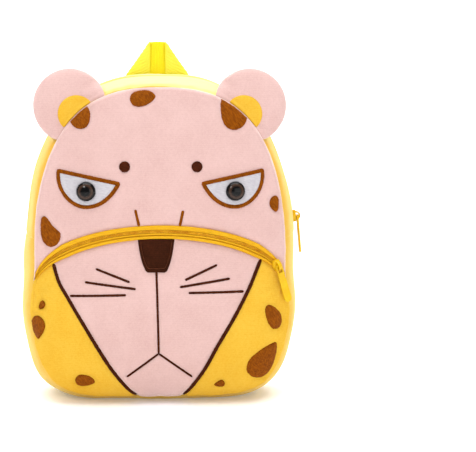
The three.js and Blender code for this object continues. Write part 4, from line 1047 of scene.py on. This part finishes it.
for k, (name, outline) in enumerate(SPOT_EDGES.items()):
    sew(name, patch(ragged(outline, 0.12, SEEDS["spot"] + k), on_front, FILL, ROOT), BROWN)
for k, side in enumerate(SIDES):
    sew(f"brow_dot_{side}", patch(ragged(DOT_EDGES[side], 0.1, SEEDS["dot"] + k), on_front, FILL, ROOT), DARK)
    outer, inner = EYE_EDGES[side]
    sew(f"eye_white_{side}", patch(lerp(outer, inner, 0.85), on_front, higher(0.75), ROOT), WHITE)
    made = thread_path(lerp(outer, inner, 0.5), EYE["rim"] + 0.7, SEEDS["rim"] + k, 1.25, 0.3, True)
    sew(f"eye_rim_{side}", made, BROWN)
    made = thread_path(BRIDGES[side], THREAD["bridge"], SEEDS["bridge"] + k, ends=0.4)
    sew(f"bridge_line_{side}", made, BROWN)
    made = thread_path(BORDER_PATHS[side], THREAD["border"], SEEDS["border"] + k, 0.85)
    sew(f"muzzle_border_{side}", made, DARK)
for k, (name, ends) in enumerate(WHISKERS.items()):
    made = thread_path(ends, THREAD["whisker"], SEEDS["whisker"] + k, 0.65, ends=0.7)
    piece(f"whisker_{name}_thread", made, DARK)
points, faces = [], []
for k, stroke in enumerate(MOUTH_PATHS):
    more, cells = thread_path(stroke, MOUTH["width"], SEEDS["mouth"] + k, 0.7)
    faces += [[i + sum(map(len, points)) for i in cell] for cell in cells]
    points.append(more)
sew("mouth", (np.concatenate(points), faces), DARK)
outline = resample(nose_outline(), 0.8, True)
nose = piece("nose_plush", patch(outline, on_front, PAD, ROOT), DARK_PLUSH, "nose")
made = thread_path(shrink(nose_outline(), 0.84) + np.array([0, 1.6]), THREAD["nose"], SEEDS["nose"], 2.6)
piece("nose_edge_thread", made, NOSE_THREAD)

# Plastic eyes
for side, sign in SIDES.items():
    x, z = np.array(sign * EYEBALL["x"]), np.array(EYEBALL["z"])
    seat = on_front(x, z, np.array(EYEBALL["seat"]))
    normal = front_normal(x, z)
    right = unit(np.cross(normal, [0, 0, 1.0]))
    up = np.cross(right, normal)
    turn = np.arange(48) * TAU / 48
    ring = np.cos(turn)[:, None] * right + np.sin(turn)[:, None] * up
    rim = 0.9
    rows = [(1.0, -0.6), (1.03, 0.2), (1.0, rim)]
    for a in np.linspace(0.12, 1.53, 12):
        rows.append((math.cos(a), rim + (EYEBALL["height"] - rim) * math.sin(a)))
    rings = [seat + ring * wide * EYEBALL["radius"] + normal * high for wide, high in rows]
    look = eyeball(f"eye_plastic_{side}", seat, normal, EYEBALL["radius"])
    piece(f"eye_{side}_dome", sweep(np.array(rings)), look, f"eye_{side}")


# Handle and strap webbing
def centripetal(points, count):
    """Curve through points that takes uneven spans without a loop."""
    p = np.asarray(points, float)
    p = np.concatenate([[2 * p[0] - p[1]], p, [2 * p[-1] - p[-2]]])
    gap = np.linalg.norm(np.diff(p, axis=0), axis=1) ** 0.5
    place = np.linspace(0, len(p) - 3, count)
    i = np.minimum(np.floor(place).astype(int), len(p) - 4)
    w = (place - i)[:, None]
    a, b, c, d = p[i], p[i + 1], p[i + 2], p[i + 3]
    e, f, g = (gap[i + k][:, None] for k in range(3))
    v = ((b - a) / e - (c - a) / (e + f) + (c - b) / f) * f
    q = ((c - b) / f - (d - b) / (f + g) + (d - c) / g) * f
    return hermite(b, c, v, q, w)


def ribbed(first, last, ribs):
    """Webbing between two edges, with ribs along its length."""
    t = np.linspace(0, 1, ribs * 6 + 1)[None, :, None]
    middle = lerp(first[:, None], last[:, None], t)
    along = np.gradient(middle, axis=0)
    normal = unit(np.cross(along, last[:, None] - first[:, None]))
    edge = np.clip(np.minimum(t, 1 - t) * 12, 0, 1) ** 0.5
    half = (WEBBING / 2 + 0.16 * np.cos(TAU * t * ribs)) * (0.45 + 0.55 * edge)
    upper, lower = middle + normal * half, middle - normal * half
    return sweep(np.concatenate([upper, lower[:, ::-1]], 1))


def handle_sheet():
    """Webbing that rises from the seam, folds over along a slant and crosses behind to the other side."""
    t = np.linspace(0, 1, GRIDS["handle"])[:, None]
    inner, outer = HANDLE["inner"], HANDLE["outer"]
    x = -lerp(inner, outer, t)
    fold = lerp(HANDLE["high"], HANDLE["low"], t ** 0.94)
    front, rear = lerp(*HANDLE["front"], t), lerp(*HANDLE["rear"], t)
    up, over, on = (np.linspace(0, 1, n)[None] for n in (64, 12, 24))
    wing_y = lerp(HANDLE["root"], front, smooth(up) ** 0.8)
    wing = np.stack([x + 0 * up, wing_y, lerp(HANDLE["foot"], fold, up)], -1)
    turn, depth = np.pi * over[:, 1:-1], (rear - front) / 2
    out = 0.35 * depth * np.sin(turn)
    bend = np.stack([x - out, front + depth * (1 - np.cos(turn)), fold + 0.6 * out], -1)
    rise = 0.5 * np.sin(np.pi / 2 * on)
    band = np.stack([x * (1 - on), rear + 0 * on, fold + rise], -1)
    half = np.concatenate([wing, bend, band], 1)
    return np.concatenate([half, half[:, -2::-1] * np.array([-1, 1, 1])], 1)


sheet = handle_sheet()
along, across = np.gradient(sheet, axis=1), np.gradient(sheet, axis=0)
normal = unit(np.cross(along, across))
length = np.cumsum(np.linalg.norm(along, axis=-1), axis=1)
length -= length[:, length.shape[1] // 2][:, None]
row = np.arange(GRIDS["handle"])
selvage = np.clip(np.minimum(row, row[::-1]) / 2, 0.4, 1)[:, None]
thick = (WEBBING / 2 + 0.2 * np.cos(TAU * length / HANDLE["rib"])) * selvage
pair = (sheet + normal * thick[..., None], sheet - normal * thick[..., None])
piece("handle_webbing", slab(*pair), WEB, "handle")
for side, sign in SIDES.items():
    middle = centripetal(np.array(STRAP_WEB) * np.array([sign, 1, 1]), 260)
    half = np.array([STRAP_WEB_HALF, 0, 0])
    piece(f"strap_web_{side}", ribbed(middle - half, middle + half, 14), STRAP_TAPE, f"strap_webbing_{side}")


# Padded pieces: the solid's own shape, filled by pressure
PADS = []
# How much smaller a skin starts, and how freely it moves along x, y and z
TUCK = 0.8
GIVE = {"ear": (0.1, 1, 0.1), "strap": (0.2, 1, 0.4)}


def start_pad(made, tuck, held, give):
    """The skin starts a little smaller; held(points) marks what is sewn down, give is how freely it moves."""
    mesh = made.data
    points = np.array([v.co for v in mesh.vertices])
    normals = np.array([v.normal for v in mesh.vertices])
    fixed = held(points / MM)
    points -= normals * (tuck * MM * (1 - fixed[:, None])) * give
    mesh.vertices.foreach_set("co", points.ravel())
    group = made.vertex_groups.new(name="held")
    for i in np.nonzero(fixed)[0]:
        group.add([int(i)], 1.0, "REPLACE")
    PADS.append((made, points, give))
    return made


CLOTH = {
    "quality": 5, "mass": 0.15, "tension_stiffness": 10, "compression_stiffness": 6,
    "shear_stiffness": 4, "bending_stiffness": 0.3, "use_pressure": True, "uniform_pressure_force": 4.0,
    "vertex_group_mass": "held",
}


def fill_pads(frames, cap):
    """All pads are filled together; cap is the most that a point moves."""
    scene = bpy.context.scene
    for made, _, _ in PADS:
        cloth = made.modifiers.new("fill", "CLOTH")
        for key, value in CLOTH.items():
            setattr(cloth.settings, key, value)
        cloth.settings.effector_weights.gravity = 0
        cloth.point_cache.frame_start = 1
        cloth.point_cache.frame_end = frames
    for k in range(1, frames + 1):
        scene.frame_set(k)
    graph_now = bpy.context.evaluated_depsgraph_get()
    for made, points, give in PADS:
        moved = made.evaluated_get(graph_now).to_mesh()
        move = np.array([v.co for v in moved.vertices]) - points
        far = np.linalg.norm(move, axis=1, keepdims=True)
        points += move * np.minimum(1, cap * MM / np.maximum(far, 1e-9)) * give
        made.data.vertices.foreach_set("co", points.ravel())
    for made, _, _ in PADS:
        made.modifiers.clear()
    scene.frame_set(1)


def finish_pad(made):
    made.vertex_groups.clear()
    made.modifiers.new("fine", "SUBSURF").levels = 1
    apply_modifiers(made, 80)


def off_gusset(x, y, z):
    """How far a place stands off the gusset, away from the bag's middle."""
    up = z - FRONT["middle"]
    across = np.clip((y - FRONT["y"]) / DEPTH, 0, 1)
    base = gusset_point(np.arctan2(up, x), across)
    return np.hypot(x, up) - np.hypot(base[..., 0], base[..., 2] - FRONT["middle"])


def ear_depth(sign, x, z, way):
    """Depth of an ear's front or back skin; at both ends of its foot the ear runs forward into the seam."""
    out = np.minimum(1, np.hypot(x - sign * EAR["x"], z - EAR["z"]) / EAR["radius"])
    from_bag = (raw_share(FRONT, x, z) - 1) * EAR_REACH
    leaning = EAR["y"] + (z - EAR["z"]) * math.tan(math.radians(EAR["lean"]))
    forward = out ** 4 * smooth(1 - from_bag / EAR["sewn"])
    return lerp(leaning, FRONT["y"] - SEAM_GAP, forward) + way * EAR["half"] * (1 - out ** 2.4) ** 0.55


def outside(middle, distance):
    """Place a distance further out from the bag's middle."""
    return middle + unit(middle - np.array([0, FRONT["middle"]])) * distance


def ear_mesh(name, sign):
    """Ear as two skins that meet at the rim; its foot follows the gusset."""
    middle = np.array([sign * EAR["x"], EAR["z"]])
    start = outside(middle, EAR["heart"])
    angle, share = disc_grid(GRIDS["ear"])
    table = np.linspace(-np.pi, 2 * np.pi, EAR_RAY["count"])
    way_out = np.stack([np.cos(table), np.sin(table)], -1)[:, None]
    ray = start + way_out * (np.arange(EAR_RAY["steps"]) * EAR_RAY["step"])[None, :, None]
    skins = []
    for way, clear in ((-1, -1.2), (1, 0.4)):
        depth = ear_depth(sign, ray[..., 0], ray[..., 1], way)
        free = np.linalg.norm(ray - middle, axis=-1) < EAR["radius"]
        free &= off_gusset(ray[..., 0], depth, ray[..., 1]) > clear
        reach = np.interp(angle, table, np.argmin(free, axis=1) * EAR_RAY["step"])
        x, z = start[0] + reach * share * np.cos(angle), start[1] + reach * share * np.sin(angle)
        skins.append(np.stack([x, ear_depth(sign, x, z, way), z], -1))
    made = to_object(name, *slab(*skins))
    with editing(made.data) as shape:
        bmesh.ops.remove_doubles(shape, verts=shape.verts, dist=0.3 * MM)
        bmesh.ops.recalc_face_normals(shape, faces=shape.faces)
    return made


def ear_foot(points):
    """What lies close to the gusset is sewn into the seam."""
    return (off_gusset(*points.T) < EAR["foot"]).astype(float)


def strap_mesh(name, sign):
    """Flat tube along the strap's middle line with rounded ends; its top falls outwards as the seam does."""
    rows = np.array(STRAP, float)
    count, around = GRIDS["strap"]
    middle = centripetal(rows[:, :3], count)
    at = np.linspace(0, len(rows) - 1, count)
    half, pad = (np.interp(at, np.arange(len(rows)), rows[:, k]) for k in (3, 4))
    way = unit(np.gradient(middle, axis=0))
    for k, step in ((0, -1), (-1, 1)):
        more = [middle[k] + way[k] * step * d for d in (0.8, 1.2)]
        ends = [(half[k] - 0.6, pad[k] * 0.65), (half[k] - 1.6, pad[k] * 0.12)]
        where = 0 if k == 0 else len(middle)
        order = (1, 0) if k == 0 else (0, 1)
        middle = np.insert(middle, [where] * 2, [more[i] for i in order], 0)
        way = np.insert(way, [where] * 2, [way[k]] * 2, 0)
        half = np.insert(half, [where] * 2, [ends[i][0] for i in order])
        pad = np.insert(pad, [where] * 2, [ends[i][1] for i in order])
    out = unit(np.stack([0 * way[:, 0], -way[:, 2], way[:, 1]], -1))
    turn = np.linspace(0, TAU, 400)
    c, s = np.cos(turn), np.sin(turn)
    wide = np.sign(c) * np.abs(c) ** STRAP_OVAL["wide"]
    deep = np.sign(s) * np.abs(s) ** STRAP_OVAL["deep"]
    steps = np.hypot(np.diff(wide * STRAP_OVAL["half"]), np.diff(deep * STRAP_OVAL["pad"]))
    along = np.concatenate([[0], np.cumsum(steps)])
    at = np.arange(around) / around * along[-1]
    wide, deep = np.interp(at, along, wide), np.interp(at, along, deep)
    rings = middle[:, None] + out[:, None] * (deep * pad[:, None])[..., None]
    rings[..., 0] += wide * half[:, None]
    seam = lambda x: BACK["rise"] * (1 - (x / BACK["half"]) ** ROUND_ABOVE) ** (1 / ROUND_ABOVE)
    fall = np.maximum(0, seam(rows[0, 0]) - seam(rings[..., 0]))
    rings[..., 2] -= fall * smooth((rings[..., 2] - STRAP_FALL["from"]) / STRAP_FALL["span"])
    return to_object(name, *sweep(rings * np.array([sign, 1, 1])))


def strap_ends(points):
    height = points[:, 2]
    return ((height > STRAP_HELD["above"]) | (height < STRAP_HELD["below"])).astype(float)


ears, straps = {}, {}
for side, sign in SIDES.items():
    ears[side] = start_pad(ear_mesh(f"ear_{side}_pad", sign), TUCK, ear_foot, GIVE["ear"])
    straps[side] = start_pad(strap_mesh(f"strap_{side}_pad", sign), TUCK, strap_ends, GIVE["strap"])
fill_pads(20, 4.0)
for side in SIDES:
    finish_pad(ears[side])
    finish_pad(straps[side])
    dress(ears[side], PINK, f"ear_{side}")
    dress(straps[side], STRAP_PLUSH, f"shoulder_strap_{side}")

# Inner ears, laid on the filled ears where they stand clear of the bag
for side, sign in SIDES.items():
    shape = BVHTree.FromObject(ears[side], bpy.context.evaluated_depsgraph_get())
    middle = np.array([sign * (EAR["x"] - INNER_EAR["inward"]), EAR["z"] - INNER_EAR["down"]])
    start = outside(middle, INNER_EAR["heart"])
    outline = []
    for turn in np.arange(96) * TAU / 96:
        ray = start + np.array([math.cos(turn), math.sin(turn)]) * np.linspace(0, 30, 301)[:, None]
        clear = np.linalg.norm(ray - middle, axis=1) < INNER_EAR["radius"]
        clear &= raw_share(FRONT, ray[:, 0], ray[:, 1]) > INNER_EAR["clear"]
        outline.append(ray[max(1, int(np.argmin(clear)) - 1)])

    def on_ear(x, z, height):
        made = []
        for px, pz, up in zip(x, z, height):
            hit = shape.ray_cast(Vector((px * MM, -0.1, pz * MM)), Vector((0, 1, 0)))
            depth = hit[0].y / MM if hit[0] else EAR["y"] - EAR["half"]
            made.append((px, depth - up, pz))
        return np.array(made)

    made = patch(resample(outline, 0.7, True), on_ear, higher(1.1), -0.8)
    piece(f"inner_ear_{side}_plush", made, YELLOW, f"inner_ear_{side}")


# Hard pieces: the solid with its moulded edges rounded
def rounded(name, cad, look, width, body="bag"):
    made = bpy.data.objects.new(name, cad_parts[cad].data.copy())
    bpy.context.scene.collection.objects.link(made)
    level = math.radians(1)
    with editing(made.data) as shape:
        bmesh.ops.remove_doubles(shape, verts=shape.verts, dist=1e-6)
        flat = [e for e in shape.edges if len(e.link_faces) == 2 and e.calc_face_angle(0) < level]
        bmesh.ops.dissolve_limit(shape, angle_limit=level, verts=shape.verts, edges=flat)
    bevel = made.modifiers.new("edge", "BEVEL")
    bevel.width = width * MM
    bevel.segments = 3
    bevel.limit_method = "ANGLE"
    bevel.angle_limit = math.radians(32)
    apply_modifiers(made, 40)
    return dress(made, look, cad, body=body)


EDGE = {"lock": 0.6, "zip": 0.35}
for side in SIDES:
    rounded(f"ladder_lock_{side}_moulding", f"ladder_lock_{side}", MOULDED, EDGE["lock"])
for name in ("pocket", "main"):
    rounded(f"{name}_slider_casting", f"{name}_slider", ENAMEL, EDGE["zip"])
    rounded(f"{name}_pull_moulding", f"{name}_pull", MOULDED, EDGE["zip"], f"{name}_pull")


# Stage
def area_light(name, place, aim, size, power):
    lamp = bpy.data.lights.new(name, "AREA")
    lamp.shape = "RECTANGLE"
    lamp.size, lamp.size_y = size
    lamp.energy = power
    made = bpy.data.objects.new(name, lamp)
    made.location = place
    made.rotation_euler = (Vector(aim) - Vector(place)).to_track_quat("-Z", "Y").to_euler()
    bpy.context.scene.collection.objects.link(made)


area_light("key", (-0.8, -1.6, 1.35), (0, 0, 0.14), (0.45, 0.45), 10)
area_light("fill", (0.9, -1.6, 0.4), (0, 0, 0.1), (1.4, 0.7), 5)
area_light("top", (0.0, -0.1, 1.9), (0, 0, 0.1), (2.0, 2.0), 48)
for side, sign in SIDES.items():
    area_light(f"wall_{side}", (sign * 1.3, 0.9, 2.0), (sign * 0.4, 2.3, 0.7), (1.0, 1.0), 24)
world = bpy.data.worlds.new("studio")
world.use_nodes = True
WORLD_LIGHT, WORLD_SEEN = 0.35, 1.0
background = world.node_tree.nodes["Background"]
background.inputs["Color"].default_value = (1, 1, 1, 1)
seen = node(world.node_tree, "LightPath").outputs["Is Camera Ray"]
strength = span(world.node_tree, seen, 0, 1, WORLD_LIGHT, WORLD_SEEN)
world.node_tree.links.new(strength, background.inputs["Strength"])
bpy.context.scene.world = world
bpy.context.scene.view_settings.view_transform = "Standard"

paper = {"Roughness": 0.9, "Specular_IOR_Level": 0.1, "Emission_Color": (1, 1, 1, 1)}
floor_look, floor_shader = graph("floor_paper", **paper)
floor_tree = floor_look.node_tree
floor_place = turned(floor_tree, 0)
floor_grain = noise(floor_tree, floor_place, 700, 3, 0.6)
floor_colour = ramp(floor_tree, floor_grain, (0.3, (0.93, 0.93, 0.93, 1)), (0.7, (0.96, 0.96, 0.96, 1)))
wire(floor_tree, floor_shader, floor_colour, floor_grain, 0.05, 0.2)
# The paper glows faintly, and more where it runs out of the lamps' reach
NEAR_GLOW, FAR_GLOW = 0.14, 0.68
LAMP_REACH = (1.3, 3.2)
axes = node(floor_tree, "SeparateXYZ", {0: floor_place}).outputs
aside, ahead = calc(floor_tree, "ABSOLUTE", axes["X"]), calc(floor_tree, "MULTIPLY", axes["Y"], -1.0)
from_bag = calc(floor_tree, "MAXIMUM", aside, ahead)
glow = span(floor_tree, from_bag, *LAMP_REACH, NEAR_GLOW, FAR_GLOW, "SMOOTHSTEP")
floor_tree.links.new(glow, floor_shader.inputs["Emission Strength"])
FLOOR_REACH, FLOOR_DROP = 300000, 0.3
WALL = {"foot": 1600, "bend": 700, "height": 3200}
bend = np.linspace(0, np.pi / 2, 16)
wall_y = WALL["foot"] + WALL["bend"]
run = np.concatenate([[-FLOOR_REACH], WALL["foot"] + WALL["bend"] * np.sin(bend), [wall_y]])
climb = np.concatenate([[0], WALL["bend"] * (1 - np.cos(bend)), [WALL["height"]]]) - FLOOR_DROP
rows = [np.stack([np.full(len(run), side), run, climb], -1) for side in (-FLOOR_REACH, FLOOR_REACH)]
count = len(run)
cells = [(k, k + 1, count + k + 1, count + k) for k in range(count - 1)]
floor = to_object("floor", np.concatenate(rows), cells)
floor.data.materials.append(floor_look)

camera = bpy.data.objects.new("camera", bpy.data.cameras.new("camera"))
bpy.context.scene.collection.objects.link(camera)
AZIMUTH, ELEVATION, DISTANCE = math.radians(-2), math.radians(6), 1.2
TARGET = Vector((0, 0, 0.14))
level = math.cos(ELEVATION)
away = Vector((math.sin(AZIMUTH) * level, -math.cos(AZIMUTH) * level, math.sin(ELEVATION)))
camera.location = TARGET + away * DISTANCE
camera.rotation_euler = (-away).to_track_quat("-Z", "Y").to_euler()
LENS = {"sensor_width": 36, "lens": 106.6, "shift_x": 0.166, "shift_y": 0.011}
for key, value in LENS.items():
    setattr(camera.data, key, value)
bpy.context.scene.camera = camera
